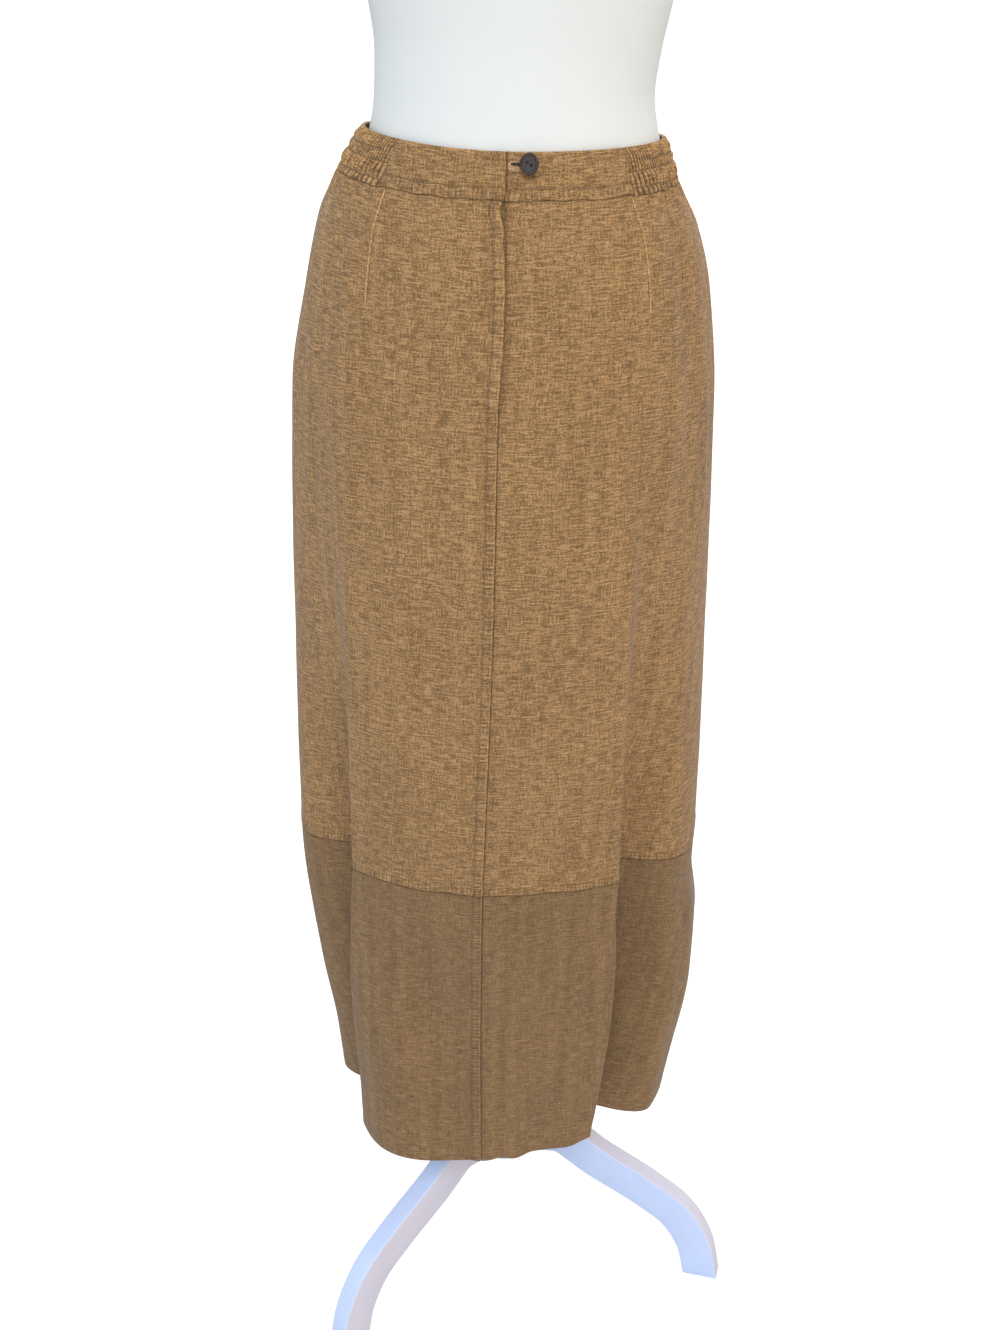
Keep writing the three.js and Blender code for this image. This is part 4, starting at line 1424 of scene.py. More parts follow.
@dataclass
class LowerBand(BackPiece):
    """A piece of the lower band, from the lower seam to the hem."""

    fine: int = 14
    wide: float = 2.8

    def grid(self) -> tuple[np.ndarray, np.ndarray]:
        """Return the turns and levels of the band."""
        level = stretches((LOWER_SEAM - SEAM_GAP / 2, LOWER_SEAM - 12.0, HEM + 7.0, HEM), (9, 98, 6))
        if self.side is None:
            return side_turns(self.form, level, 90.0, 270.0, FrontPanel.wide)
        return back_turns(self.form, level, self.side, self.fine, 90.0, self.wide)

    def out(self, turn: np.ndarray, level: np.ndarray) -> np.ndarray:
        """Return the relief of the band's outside."""
        below = LOWER_SEAM - level
        roll = -0.7 * np.clip(1.0 - below / 1.8, 0.0, 1.0) ** 2
        hem = 0.25 * (1.0 - smoothstep(level - HEM, 14.0, 16.5))
        turned = -1.0 * np.clip(1.0 - (level - HEM) / 2.2, 0.0, 1.0) ** 2
        hush = smoothstep(below, 0.0, 12.0)
        relief = roll + hem + turned + self.form.crease_reach(turn, level)
        relief = relief + self.form.ease(turn, level) * hush
        if self.side is None:
            return relief
        inside = self.form.inside(turn, level)
        if self.side is Side.LEFT:
            return relief + ledge(inside - SEAM_GAP / 2, TOPSTITCH_IN, 0.55)
        return relief - 0.75 * np.clip(1.0 + (inside - SEAM_GAP / 2) / 1.5, 0.0, 1.0) ** 2

    def depth(self, turn: np.ndarray, level: np.ndarray) -> np.ndarray:
        """Return the inside, thicker where the hem is turned up."""
        doubled = 0.6 * (1.0 - smoothstep(level - HEM, 14.0, 16.5)) * smoothstep(level - HEM, 0.0, 2.0)
        return self.out(turn, level) - self.wall - doubled

    def seam(self, turn: np.ndarray, level: np.ndarray) -> np.ndarray:
        """Return the puckers and the painted shade and highlight at the band's seams and edges."""
        below = LOWER_SEAM - level
        # Painted shade under the lower seam and a painted highlight on the hem's turned edge
        top = np.where(below < 0.7, -0.8, -0.3 * np.exp(-below / 2.0))
        hem = 0.3 * (1.0 - smoothstep(level - HEM, 0.0, 2.0))
        if self.side is None:
            zero = np.zeros_like(level)
            return np.stack([zero, zero, top + hem], axis=-1)
        made = back_seams(self.form.inside(turn, level), level, self.side, np.full_like(level, 50.0))
        made[..., 2] = np.clip(made[..., 2] + top + hem, -1, 1)
        return made

    def sewing(self) -> list[bpy.types.Object]:
        """Return the topstitch beside the centre back seam."""
        if self.side is not Side.LEFT:
            return []
        level = spread(LOWER_SEAM - 1.5, HEM + 1.5, 200)
        return [self.stitch("centre_topstitch_low", (self.left_of(level, TOPSTITCH_IN), level))]


@dataclass
class FlatWaist(BackPiece):
    """A flat length of the waistband."""

    start: float = FLAT_FRONT_RIGHT
    end: float = FLAT_FRONT_LEFT
    topstitch: float = 9.6
    wide: float = 1.9

    def grid(self) -> tuple[np.ndarray, np.ndarray]:
        """Return the turns and levels of the band."""
        level = spread(WAIST_TOP, WAIST_SEAM + SEAM_GAP / 2, 36)
        if self.side is None:
            return side_turns(self.form, level, self.start, self.end, self.wide)
        reach = -self.start if self.side is Side.LEFT else self.end
        return back_turns(self.form, level, self.side, 20, reach, self.wide)

    def out(self, turn: np.ndarray, level: np.ndarray) -> np.ndarray:
        """Return the relief of the band's outside."""
        over = level - WAIST_SEAM
        under_top = WAIST_TOP - level
        puffed = ledge(over - SEAM_GAP / 2, self.topstitch, 0.45)
        puffed = puffed * (1.0 + 0.35 * uneven(turn / 2.2, 2.0))
        roll = -0.9 * np.clip(1.0 - under_top / 2.0, 0.0, 1.0) ** 2
        wrinkle = 0.34 * uneven(level / 2.1 + 1.4 * uneven(turn / 5.0, 3.0), 9.0) * hump((over - 22.0) / 17.0)
        slow = 0.4 * uneven(turn / 3.2, 5.0) * hump((over - 20.0) / 22.0)
        relief = puffed + roll + wrinkle + slow
        if self.side is Side.LEFT:
            relief = relief + lap_out(self.form.inside(turn, level), level, self.wall)
        return relief

    def depth(self, turn: np.ndarray, level: np.ndarray) -> np.ndarray:
        """Return the inside, which stays clear of the form."""
        depth = super().depth(turn, level)
        return depth if self.side is Side.LEFT else np.minimum(depth, -self.wall)

    def seam(self, turn: np.ndarray, level: np.ndarray) -> np.ndarray:
        """Return the puckers and the painted shade and highlight at the band's seams and edges."""
        over = level - WAIST_SEAM
        mask = strip(over, self.topstitch)
        # Painted shade at the topstitch and the seam, and a painted highlight on the top edge
        topstitch_shade = -1.0 * np.exp(-(((over - self.topstitch) / 0.9) ** 2))
        topstitch_shade = topstitch_shade * (1.0 + 0.5 * uneven(turn / 1.7, 7.0))
        tone = topstitch_shade + np.where(over < 0.8, -0.45, 0.0) + 0.25 * (1 - smoothstep(WAIST_TOP - level, 0.5, 2.5))
        # At the back, a painted highlight on the lap's edge and painted shadow beside it on the right
        if self.side is not None:
            inside = self.form.inside(turn, level)
            edge = inside - lap_notch(level) if self.side is Side.LEFT else -inside
            tone = tone + (0.6 if self.side is Side.LEFT else -1.3) * np.exp(-np.abs(edge) / 1.6)
        # Painted shade where the band is sewn to the elastic
        sewn = [end for end, side in ((self.start, Side.RIGHT), (self.end, Side.LEFT)) if side is not self.side]
        tone = tone - 0.7 * np.exp(-np.min([np.abs(turn - end) for end in sewn], axis=0) / 0.3)
        return np.stack([turn * 2.4, mask, np.clip(tone, -1, 1)], axis=-1)

    def sewing(self) -> list[bpy.types.Object]:
        """Return the topstitch along the band's lower edge."""
        level = WAIST_SEAM + self.topstitch
        centre, unit = self.form.centre_at(level)
        start = centre + unit * 1.0 if self.side is Side.RIGHT else self.start
        end = centre - unit * 10.5 if self.side is Side.LEFT else self.end
        turn = spread(start, end, 90 if self.side else 160)
        made = [self.stitch(f"{self.node}_topstitch", (turn, level + 0.35 * uneven(turn / 2.0, 4.0)))]
        if self.side is Side.LEFT:
            down = spread(WAIST_TOP - 1.0, WAIST_SEAM + 1.0, 40)
            inside = 8.6 + 0.6 * (WAIST_TOP - down) / (WAIST_TOP - WAIST_SEAM)
            made.append(self.stitch("lap_topstitch_waist", (self.left_of(down, inside), down)))
        return made


@dataclass
class ElasticSide(ClothPiece):
    """An elastic side of the waist, gathered in rows of puffs."""

    start: float = FLAT_BACK_RIGHT
    end: float = FLAT_FRONT_RIGHT
    casings: tuple[float, ...] = (WAIST_TOP, 1235.0, 1227.0, 1214.0, WAIST_SEAM)
    swell: tuple[float, ...] = (1.7, 1.5, 3.0, 1.9)
    pitches: tuple[float, ...] = (4.2, 4.0, 6.4, 7.4)
    lean: float = 3.0

    def grid(self) -> tuple[np.ndarray, np.ndarray]:
        """Return the turns and levels of the elastic."""
        level = spread(WAIST_TOP, WAIST_SEAM + SEAM_GAP / 2, 46)
        return side_turns(self.form, level, self.start, self.end, 0.82)

    def wave(self, row: int, turn: np.ndarray, level: np.ndarray) -> np.ndarray:
        """Return the gathers of a casing row, from 0 in a valley to 1 on a crest."""
        outward = np.sign(self.start + self.end)
        slant = outward * 0.22 * (self.casings[row] - level)
        wander = 0.17 * uneven(turn / 2.7, row * 2.0 + 1.0)
        phase = (turn * 2.6 - slant) / self.pitches[row]
        return 0.5 + 0.5 * np.cos(2 * np.pi * (phase + wander + 0.12 * row))

    def rows_at(self, level: np.ndarray) -> list[tuple[int, np.ndarray, np.ndarray]]:
        """Return for each casing row its index, where it lies and the share down it."""
        made = []
        for row in range(len(self.swell)):
            top, low = self.casings[row], self.casings[row + 1]
            share = np.clip((top - level) / (top - low), 0.0, 1.0)
            made.append((row, (level <= top) & (level >= low), share))
        return made

    def ends(self, turn: np.ndarray) -> np.ndarray:
        """Return the degrees to the nearer end of the elastic."""
        return np.minimum(np.abs(turn - self.start), np.abs(turn - self.end))

    def out(self, turn: np.ndarray, level: np.ndarray) -> np.ndarray:
        """Return the relief of the puffs between the casing lines."""
        near_end = 0.35 + 0.65 * smoothstep(self.ends(turn), 0.2, 2.2)
        relief = np.full(turn.shape, -0.7)
        for row, within, share in self.rows_at(level):
            puff = np.sin(np.pi * (share if row else 0.3 + 0.7 * share)) ** 0.55
            size = self.swell[row] * (0.85 + 0.35 * uneven(turn / 1.9, row * 3.0 + 2.0))
            lift = puff * (0.35 + size * self.wave(row, turn, level) ** 1.3) * near_end
            relief = np.where(within, lift - 0.7, relief)
        return relief - self.leaned(level)

    def leaned(self, level: np.ndarray) -> np.ndarray:
        """Return how far the elastic draws the top edge in."""
        return self.lean * (1.0 - smoothstep(WAIST_TOP - level, 0.0, 9.0))

    def depth(self, turn: np.ndarray, level: np.ndarray) -> np.ndarray:
        """Return the plain inside of the elastic."""
        return -self.wall - self.leaned(level)

    def seam(self, turn: np.ndarray, level: np.ndarray) -> np.ndarray:
        """Return the painted shade in the valleys, at the casing lines and the ends, and painted highlights on the
        crests and the top edge.
        """
        tone = np.zeros(turn.shape)
        for row, within, share in self.rows_at(level):
            wave = self.wave(row, turn, level)
            # Painted highlight on the crests of the gathers and painted shade in their valleys
            shade = 0.85 * wave**1.6 - 1.9 * (1.0 - wave) ** 3 * np.sin(np.pi * (share if row else 0.5)) ** 0.5
            tone = np.where(within, shade, tone)
        # Painted shade at the casing lines and the ends, and a painted highlight at the top edge
        for line in self.casings[1:]:
            tone = tone - 1.1 * np.exp(-(((level - line) / 0.75) ** 2))
        tone = tone - 0.8 * np.exp(-self.ends(turn) / 0.35) + 0.3 * np.exp(-(WAIST_TOP - level) / 1.2)
        return np.stack([turn * 2.4, np.zeros(turn.shape), np.clip(tone, -1.7, 1)], axis=-1)

    def sewing(self) -> list[bpy.types.Object]:
        """Return the casing stitches."""
        turn = spread(self.start + 0.6, self.end - 0.6, 300)
        lines = ((turn, line + 0.3 * uneven(turn / 1.7, line)) for line in self.casings[1:-1])
        return [self.stitch(f"{self.node}_casing_stitches", *lines)]


@dataclass
class ZipTape(BackPiece):
    """The zip's woven tape, behind the back panels."""

    half: float = 12.0
    inside: float = 6.0
    top: float = 1240.0
    bottom: float = 1050.0

    def grid(self) -> tuple[np.ndarray, np.ndarray]:
        """Return the turns and levels of the tape."""
        level = spread(self.top, self.bottom, 76)[:, None]
        turns = self.left_of(level, self.inside + spread(self.half, -self.half, 12))
        return turns, np.broadcast_to(level, turns.shape)

    def out(self, turn: np.ndarray, level: np.ndarray) -> np.ndarray:
        """Return the tape's place behind the cloth."""
        wall = CLOTH_WALL + (BAND_WALL - CLOTH_WALL) * smoothstep(level, WAIST_SEAM - 10, WAIST_SEAM - 4)
        return -wall - SEAM_GAP

    def sewing(self) -> list[bpy.types.Object]:
        """Return the coil of teeth down the tape's middle."""
        runs = []
        for index, high in enumerate(spread(self.top - 2.0, self.bottom + 2.0, 150)):
            level = np.full(3, high)
            turn = self.left_of(level, self.inside + np.array([-1.5, 0.0, 1.5]) + (0.5 if index % 2 else -0.5))
            out = self.out(turn, level) + 0.45
            runs.append((self.form.cloth(turn, level, out), self.form.normal(turn, level)))
        return [stitch_piece("zip_coil", runs, COIL, 3.0, 0.42, 0.95)]


# The tab's rings from its edge to its buttonhole and back: share of the way, lift and edge tone, a painted highlight
# at the outer edge and painted shade towards the slit
TAB_RINGS = (
    (0.0, 0.0, 0.5), (0.06, 0.75, 0.4), (0.16, 1.0, 0.2), (0.5, 0.92, -0.1),
    (0.84, 1.0, 0.0), (0.94, 0.75, -0.6), (1.0, 0.1, -1.0),
)

# The button's face from its middle to its rim, and its back from the rim in: reach and height
BUTTON_FACE = (
    (0.0, 0.7), (4.5, 0.65), (6.2, 0.78), (7.3, 1.3), (8.0, 1.5), (8.5, 1.45), (8.8, 1.15), (9.0, 0.5),
)
BUTTON_BACK = ((9.0, 0.2), (8.7, -0.7), (7.7, -1.5), (4.0, -1.5), (0.02, -1.5))


@dataclass
class Closure:
    """The waist's closure: zip slider, button tab and button."""

    form: SkirtForm
    slider_inside: float = 6.0
    slider_level: float = 1203.8
    tab_low: float = 1230.5
    tab_high: float = 1239.0
    tab_from: float = -7.4
    tab_to: float = 14.0
    tab_wall: float = 1.1
    tab_cut: tuple[float, float] = (0.0224, 0.0105)
    button_hole: tuple[float, float] = (1.95, 1.15)
    button_level: float = 1236.0
    button_across: float = 9.7
    button_rise: float = 7.4
    button_tilt: float = 35.0
    shank_radius: float = 1.6

    def seat(self, turn: float, level: float, out: float, spin: float = 0.0) -> np.ndarray:
        """Return a place on the cloth as a matrix: across, up and outwards.

        Args:
            turn: where on the skirt.
            level: how high.
            out: how far out of the cloth.
            spin: a turn about the upright line, in degrees.

        Returns:
            Four rows of four, for points in mm.
        """
        row = np.array([turn]), np.array([level])
        outwards = self.form.normal(*row)[0]
        across = np.cross((0.0, 0.0, 1.0), outwards)
        across /= np.linalg.norm(across)
        place = np.eye(4)
        place[:3, :3] = np.stack([across, np.cross(outwards, across), outwards], axis=-1)
        place[:3, 3] = self.form.cloth(*row, np.array([out]))[0]
        return place @ np.array(Matrix.Rotation(math.radians(spin), 4, "Y"))

    def build(self) -> None:
        """Build the closure's pieces."""
        self.slider()
        self.tab()
        self.button()
        log.info("closure: zip slider, button tab and button")

    def slider(self) -> None:
        """Build the slider's body and its pull with a slot."""
        centre, unit = self.form.centre_at(self.slider_level)
        place = self.seat(centre - unit * self.slider_inside, self.slider_level, -0.4)
        body = rounded_block((3.0, 7.0, 1.5), 0.35)
        pull = rounded_ring((6.4, 4.0, 0.8), (3.0, 1.4), (0.9, 3.0, 1.1))
        points, faces = joined([body, pull])
        piece = mesh_piece("zip_slider_brass", placed(points, place), faces, sharp=35.0)
        dress(piece, BRASS)
        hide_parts("zip_slider")

    def tab(self) -> None:
        """Build the folded tab with its opened, worked buttonhole, and dark thread laid in the slit as its painted
        shade.
        """
        from_turn = self.form.turn_across(self.tab_from, self.tab_low)
        wide = self.form.turn_across(self.tab_to, self.tab_low) - from_turn
        high = self.tab_high - self.tab_low

        def on_tab(x: np.ndarray, z: np.ndarray) -> tuple[np.ndarray, np.ndarray]:
            """Return the turn and level of a place on the tab, from -1 to 1 each way."""
            return from_turn + wide * (x + 1) / 2, self.tab_low + high * (z + 1) / 2

        outline = 72
        ring = np.linspace(0, 2 * np.pi, outline, endpoint=False)
        edge_x, edge_z = squared(ring, 0.5)
        slit_x, slit_z = -0.1 + 0.62 * np.cos(ring), 0.34 + 0.27 * np.sin(ring)
        rows, flats = [], []
        for share, lift, _ in TAB_RINGS:
            x = edge_x * (1 - share) + slit_x * share
            z = edge_z * (1 - share) + slit_z * share
            out = SEAM_GAP + self.tab_wall * lift + 0.06 * uneven(ring * 5, share * 3)
            rows.append(self.form.cloth(*on_tab(x, z), out))
            flats.append(np.stack([x * 10.7, z * 4.2], axis=-1))
        # The last ring meets the first, so the tab closes on itself
        index = np.arange(len(rows) * outline).reshape(len(rows), outline)
        faces = index.reshape(-1)[ring_faces(len(rows) + 1, outline) % index.size]
        tone = np.zeros((index.size, 3))
        # The rings' edge tones paint a highlight at the outer edge and shade into the slit
        tone[:, 2] = np.repeat([shade for _, _, shade in TAB_RINGS], outline)
        piece = mesh_piece("button_tab_cloth", np.concatenate(rows), faces, np.concatenate(flats), tone)
        dress(piece, LINEN_TRIM)
        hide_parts("button_tab")
        turn, level = on_tab(slit_x * 1.02, slit_z + 0.02 * np.sin(ring))
        ends = np.array([-0.15, 1.0])
        runs = []
        for spoke in range(0, outline, 2):
            turns = turn[spoke] + ends * np.cos(ring[spoke]) * 0.35
            levels = level[spoke] + ends * np.sin(ring[spoke])
            line = self.form.cloth(turns, levels, SEAM_GAP + self.tab_wall + 0.1)
            runs.append((line, self.form.normal(turns, levels)))
        worked = stitch_piece("buttonhole_thread", runs, DARK_THREAD, 1.2, 0.22, 0.95)
        # Rows of dark thread laid on the waistband inside the slit: painted shade in the open buttonhole
        turns = np.linspace(from_turn + wide * 0.18, from_turn + wide * 0.72, 30)
        slit_shade_rows = []
        for up in (-0.5, 0.15, 0.8):
            levels = np.full_like(turns, self.tab_low + 0.67 * high + up)
            slit_shade_rows.append((self.form.cloth(turns, levels, SEAM_GAP + 0.35), self.form.normal(turns, levels)))
        loop = stitch_piece("buttonhole_slit_shade", slit_shade_rows, DARK_THREAD, 2.6, 0.34, 0.98)
        worked.parent = loop.parent = piece

    def button(self) -> None:
        """Build the button, with its rim, dished face, two holes and thread."""
        turn = self.form.turn_across(self.button_across, self.button_level)
        place = self.seat(turn, self.button_level, self.button_rise, -self.button_tilt)
        sides, hole = 96, self.button_hole
        angles = np.linspace(0, 2 * np.pi, sides, endpoint=False)
        reach = np.concatenate([spread(0.02, 6.4, 34), spread(6.6, 9.0, 18)])
        rim = np.stack([reach, np.interp(reach, *zip(*BUTTON_FACE))], axis=-1)
        profile = np.concatenate([BUTTON_BACK[::-1], rim[::-1]])
        x, y = (profile[:, :1] * wave(angles) for wave in (np.cos, np.sin))
        z = np.repeat(profile[:, 1:], sides, axis=1)
        for side in (-1, 1):
            away = np.hypot(x - side * hole[0], y + side * hole[1])[len(BUTTON_BACK):]
            z[len(BUTTON_BACK):] -= 1.5 * (1 - smoothstep(away, 0.75, 1.15)) - 0.08 * hump((away - 1.4) / 0.5)
        rings = np.stack([x, y, z], axis=-1)
        points = placed(rings.reshape(-1, 3), place)
        piece = mesh_piece("button_horn", points, ring_faces(len(rings), sides), sharp=60.0)
        dress(piece, HORN)
        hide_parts("button")
        half = np.array([(hole[0], -hole[1], 0.0), (1.0, -0.6, 0.88)])
        line = placed(np.concatenate([half * (-1, -1, 1), half[::-1]]), place)
        normals = np.tile(place[:3, 2], (4, 1))
        runs = [(line + place[:3, 1] * beside, normals) for beside in (-0.42, 0.0, 0.42)]
        sewn = stitch_piece("button_thread", runs, DARK_THREAD, 5.4, 0.3, 0.98)
        row = np.array([turn]), np.array([self.button_level])
        foot, head = (self.form.cloth(*row, np.array([out]))[0] for out in (0.9, self.button_rise - 1.2))
        shank = []
        for turned in np.linspace(0, 2 * np.pi, 10, endpoint=False):
            ring = self.shank_radius * 0.7 * (place[:3, 1] * math.sin(turned) + place[:3, 0] * math.cos(turned))
            run = np.array([foot + ring, (foot + head) / 2 + ring * 0.75, head + ring])
            shank.append((run, np.tile(ring / np.linalg.norm(ring), (3, 1))))
        wound = stitch_piece("button_shank", shank, DARK_THREAD, 9.0, 0.55, 1.0)
        sewn.parent = wound.parent = piece


def placed(points: np.ndarray, place: np.ndarray) -> np.ndarray:
    """Return points carried to a place."""
    return points @ place[:3, :3].T + place[:3, 3]


def joined(solids: Sequence[tuple[np.ndarray, list]]) -> tuple[np.ndarray, list]:
    """Return several solids as one list of points and one of faces."""
    points, faces, first = [], [], 0
    for body, sides in solids:
        points.append(body)
        faces.extend([tuple(corner + first for corner in face) for face in sides])
        first += len(body)
    return np.concatenate(points), faces


def rounded_block(size: tuple[float, float, float], edge: float) -> tuple[np.ndarray, list]:
    """Return a block whose plan and edges are rounded.

    Args:
        size: how wide, high and thick it is.
        edge: how far its edges are rounded.

    Returns:
        Its points, about its middle, and its faces.
    """
    wide, high, thick = (value / 2 for value in size)
    sides = 24
    plan_x, plan_y = squared(np.linspace(0, 2 * np.pi, sides, endpoint=False), 0.45)
    rings = [
        np.stack([plan_x * (wide - drawn), plan_y * (high - drawn), np.full(sides, height)], axis=-1)
        for height, drawn in ((-thick, edge), (-thick + edge, 0), (thick - edge, 0), (thick, edge))
    ]
    return np.concatenate(rings), ring_faces(4, sides).tolist() + ring_ends(4, sides)


def rounded_ring(
    size: tuple[float, float, float], slot: tuple[float, float], middle: tuple[float, float, float]
) -> tuple[np.ndarray, list]:
    """Return a flat rounded tag with a slot through it.

    Args:
        size: how wide, high and thick it is.
        slot: how wide and high its slot is.
        middle: where its middle stands.

    Returns:
        Its points and its faces.
    """
    sides = 32
    round_x, round_y = squared(np.linspace(0, 2 * np.pi, sides, endpoint=False), 0.6)
    loops = (
        (size, 0.0, 0.0), (size, -0.2, 0.5), (slot, 0.2, 0.5),
        (slot, 0.0, 0.0), (slot, 0.2, -0.5), (size, -0.2, -0.5),
    )
    rings = []
    for box, grown, up in loops:
        wide, high = box[0] / 2 + grown, box[1] / 2 + grown
        rings.append(np.stack([round_x * wide, round_y * high, np.full(sides, size[2] * up)], axis=-1))
    points = np.concatenate(rings) + np.array(middle)
    return points, (ring_faces(len(loops) + 1, sides) % len(points)).tolist()


@dataclass
class DressForm:
    """The limbless torso under the skirt."""

    oval: Oval = Oval(TORSO)
    sides: int = 160
    neck_round: float = 5.0

    def build(self) -> bpy.types.Object:
        """Return the torso, closed at the neck and below."""
        top, low = TORSO[0].level, TORSO[-1].level
        levels = np.concatenate([spread(top - self.neck_round, 1600.0, 44), spread(1596.0, low + 4.0, 120)])
        turn = np.linspace(180, 540, self.sides, endpoint=False)
        neck = ((46.0, top), (self.neck_round, top), (2.4, top - 0.5), (0.8, top - 2.2))
        under = ((1.0, low + 1.6), (3.2, low + 0.3), (8.0, low), (60.0, low))
        rows = (*neck, *((0.0, level) for level in levels), *under)
        rings = [self.ring(turn, float(level), drawn) for drawn, level in rows]
        flats = [np.stack([lengths(ring), ring[:, 2]], axis=-1) for ring in rings]
        count = len(rings)
        faces = ring_faces(count, self.sides, True).tolist() + ring_ends(count, self.sides, True)
        piece = mesh_piece("dress_form_torso", np.concatenate(rings), faces, np.concatenate(flats), sharp=70.0)
        dress(piece, JERSEY)
        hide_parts("form_torso")
        log.info("dress form: %d rings", count)
        return piece

    def ring(self, turn: np.ndarray, level: float, drawn: float) -> np.ndarray:
        """Return one ring of the torso, drawn in by a distance."""
        points, normals = self.oval.ring(turn, np.full_like(turn, level))
        flat = points - normals * drawn
        return np.concatenate([flat, np.full((len(turn), 1), level)], axis=-1)


@dataclass
class Tripod:
    """The pole, its hub and three curved boards."""

    pole_radius: float = 14.0
    pole_top: float = 999.7
    hub_radius: float = 23.2
    hub_low: float = 124.0
    hub_high: float = 192.0
    hub_round: float = 6.0
    board_thick: float = 22.0
    board_round: float = 1.9
    wide_hub: float = 43.6
    wide_foot: float = 38.3
    turns: tuple[tuple[str, float], ...] = (("left", -134.1), ("right", -14.1), ("back", 105.9))
    edge: tuple[tuple[float, float], ...] = (
        (23.5, 178.6), (73.0, 183.0), (122.0, 153.5), (176.0, 124.5), (219.0, 94.0), (246.0, 51.0), (257.6, 0.0),
    )

    def build(self) -> None:
        """Build the stand."""
        radius, top, low, eased = self.pole_radius, self.pole_top, self.hub_high + SEAM_GAP, 0.6
        foot = ((0.4, low), (radius - eased, low), (radius, low + eased))
        head = ((radius, top - eased), (radius - eased, top), (0.4, top))
        self.lathe("pole_wood", "pole", (*foot, *head))
        angle = np.linspace(0, np.pi / 2, 7)
        wide, turned = self.hub_radius, self.hub_round
        lower = [(wide - turned + turned * math.sin(a), self.hub_low + turned - turned * math.cos(a)) for a in angle]
        upper = [(wide - turned + turned * math.cos(a), self.hub_high - turned + turned * math.sin(a)) for a in angle]
        self.lathe("tripod_hub_wood", "tripod_hub", ((0.4, self.hub_low), *lower, *upper, (0.4, self.hub_high)))
        for name, turn in self.turns:
            self.board(name, turn)
        log.info("tripod: pole, hub and %d boards", len(self.turns))

    def lathe(self, name: str, node: str, outline: Sequence[tuple[float, float]]) -> None:
        """Turn an outline about the pole.

        Args:
            name: the piece's name.
            node: the solid that it stands for.
            outline: reach and height of each ring, from the bottom up.
        """
        sides = 64
        angle = np.linspace(0, 2 * np.pi, sides, endpoint=False)
        rings = [np.stack([r * np.cos(angle), r * np.sin(angle), np.full(sides, h)], axis=-1) for r, h in outline]
        flats = [np.stack([np.full(sides, h), angle * outline[1][0]], axis=-1) for _, h in outline]
        faces = ring_faces(len(rings), sides).tolist() + ring_ends(len(rings), sides)
        piece = mesh_piece(name, np.concatenate(rings), faces, np.concatenate(flats), sharp=30.0)
        dress(piece, PAINT)
        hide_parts(node)

    def curve(self, share: float) -> np.ndarray:
        """Return a point of the board's upper edge, on a curve through its table."""
        rows = np.array(self.edge)
        place = share * (len(rows) - 1)
        index = min(int(place), len(rows) - 1)
        t = place - index
        at = [rows[min(max(index + step, 0), len(rows) - 1)] for step in (-1, 0, 1, 2)]
        start, end = (at[2] - at[0]) / 2, (at[3] - at[1]) / 2
        cube = (2 * at[1] - 2 * at[2] + start + end) * t**3
        return cube + (-3 * at[1] + 3 * at[2] - 2 * start - end) * t**2 + start * t + at[1]

    def board(self, name: str, turn: float) -> None:
        """Build one board with eased edges.

        Args:
            name: which board.
            turn: its turn about the pole, from the part's right.
        """
        steps = 72
        half, eased = self.board_thick / 2, self.board_round
        corner = np.linspace(0, np.pi / 2, 5)
        corners = (((half - eased), 1), (-(half - eased), 1), (-(half - eased), -1), ((half - eased), -1))
        across, near, far = [], [], []
        for index, (middle, side) in enumerate(corners):
            for angle in corner + index * np.pi / 2:
                across.append(middle + eased * math.cos(angle))
                near.append(eased * (1 - math.sin(angle)) if side == 1 else 0.0)
                far.append(eased * (1 + math.sin(angle)) if side == -1 else 0.0)
        across, near, far = np.array(across), np.array(near), np.array(far)
        upper = np.array([side == 1 for _, side in corners for _ in corner])
        rings, flats, run, before = [], [], 0.0, self.curve(0.0)
        for step in range(steps + 1):
            share = step / steps
            top = self.curve(share)
            ahead, behind = self.curve(min(1.0, share + 1e-4)), self.curve(max(0.0, share - 1e-4))
            along = (ahead - behind) / np.linalg.norm(ahead - behind)
            wide = self.wide_hub + (self.wide_foot - self.wide_hub) * share
            low = np.array([top[0] + along[1] * wide, top[1] - along[0] * wide])
            if step == 0:
                low[0] = top[0]
            low[1] = 0.0 if step == steps else max(low[1], 0.0)
            down = (low - top) / np.linalg.norm(low - top)
            place = np.where(upper[:, None], top + down * near[:, None], low - down * far[:, None])
            place[:, 1] = np.maximum(place[:, 1], 0.0)
            run, before = run + float(np.linalg.norm(top - before)), top
            rings.append(np.stack([place[:, 0], across, place[:, 1]], axis=-1))
            flats.append(np.stack([np.full(len(across), run), np.arange(len(across)) * 4.0], axis=-1))
        sides = len(across)
        spin = np.array(Matrix.Rotation(-math.radians(turn), 3, "Z"))
        faces = ring_faces(len(rings), sides, True).tolist() + ring_ends(len(rings), sides, True)
        points = np.concatenate(rings) @ spin
        piece = mesh_piece(f"tripod_board_{name}", points, faces, np.concatenate(flats), sharp=35.0)
        # Painted light: rims and broad sides take the bluish copy where they face the cool light and the lilac copy
        # where they face the warm light, so the left board has them the other way round
        dress(piece, *((PAINT, PAINT_WARM_LIT) if name == "left" else (PAINT_WARM_LIT, PAINT)))
        rim = [2 <= column % (sides // 2) < 7 for column in range(sides)] * steps
        for polygon, on_rim in zip(piece.data.polygons, rim):
            polygon.material_index = int(not on_rim)
        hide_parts(f"tripod_leg_{name}")


class Sun(NamedTuple):
    """A distant light: its tilt from straight down, turn and width, in degrees."""

    name: str
    tilt: float
    turn: float
    power: float
    wide: float
    colour: Triple


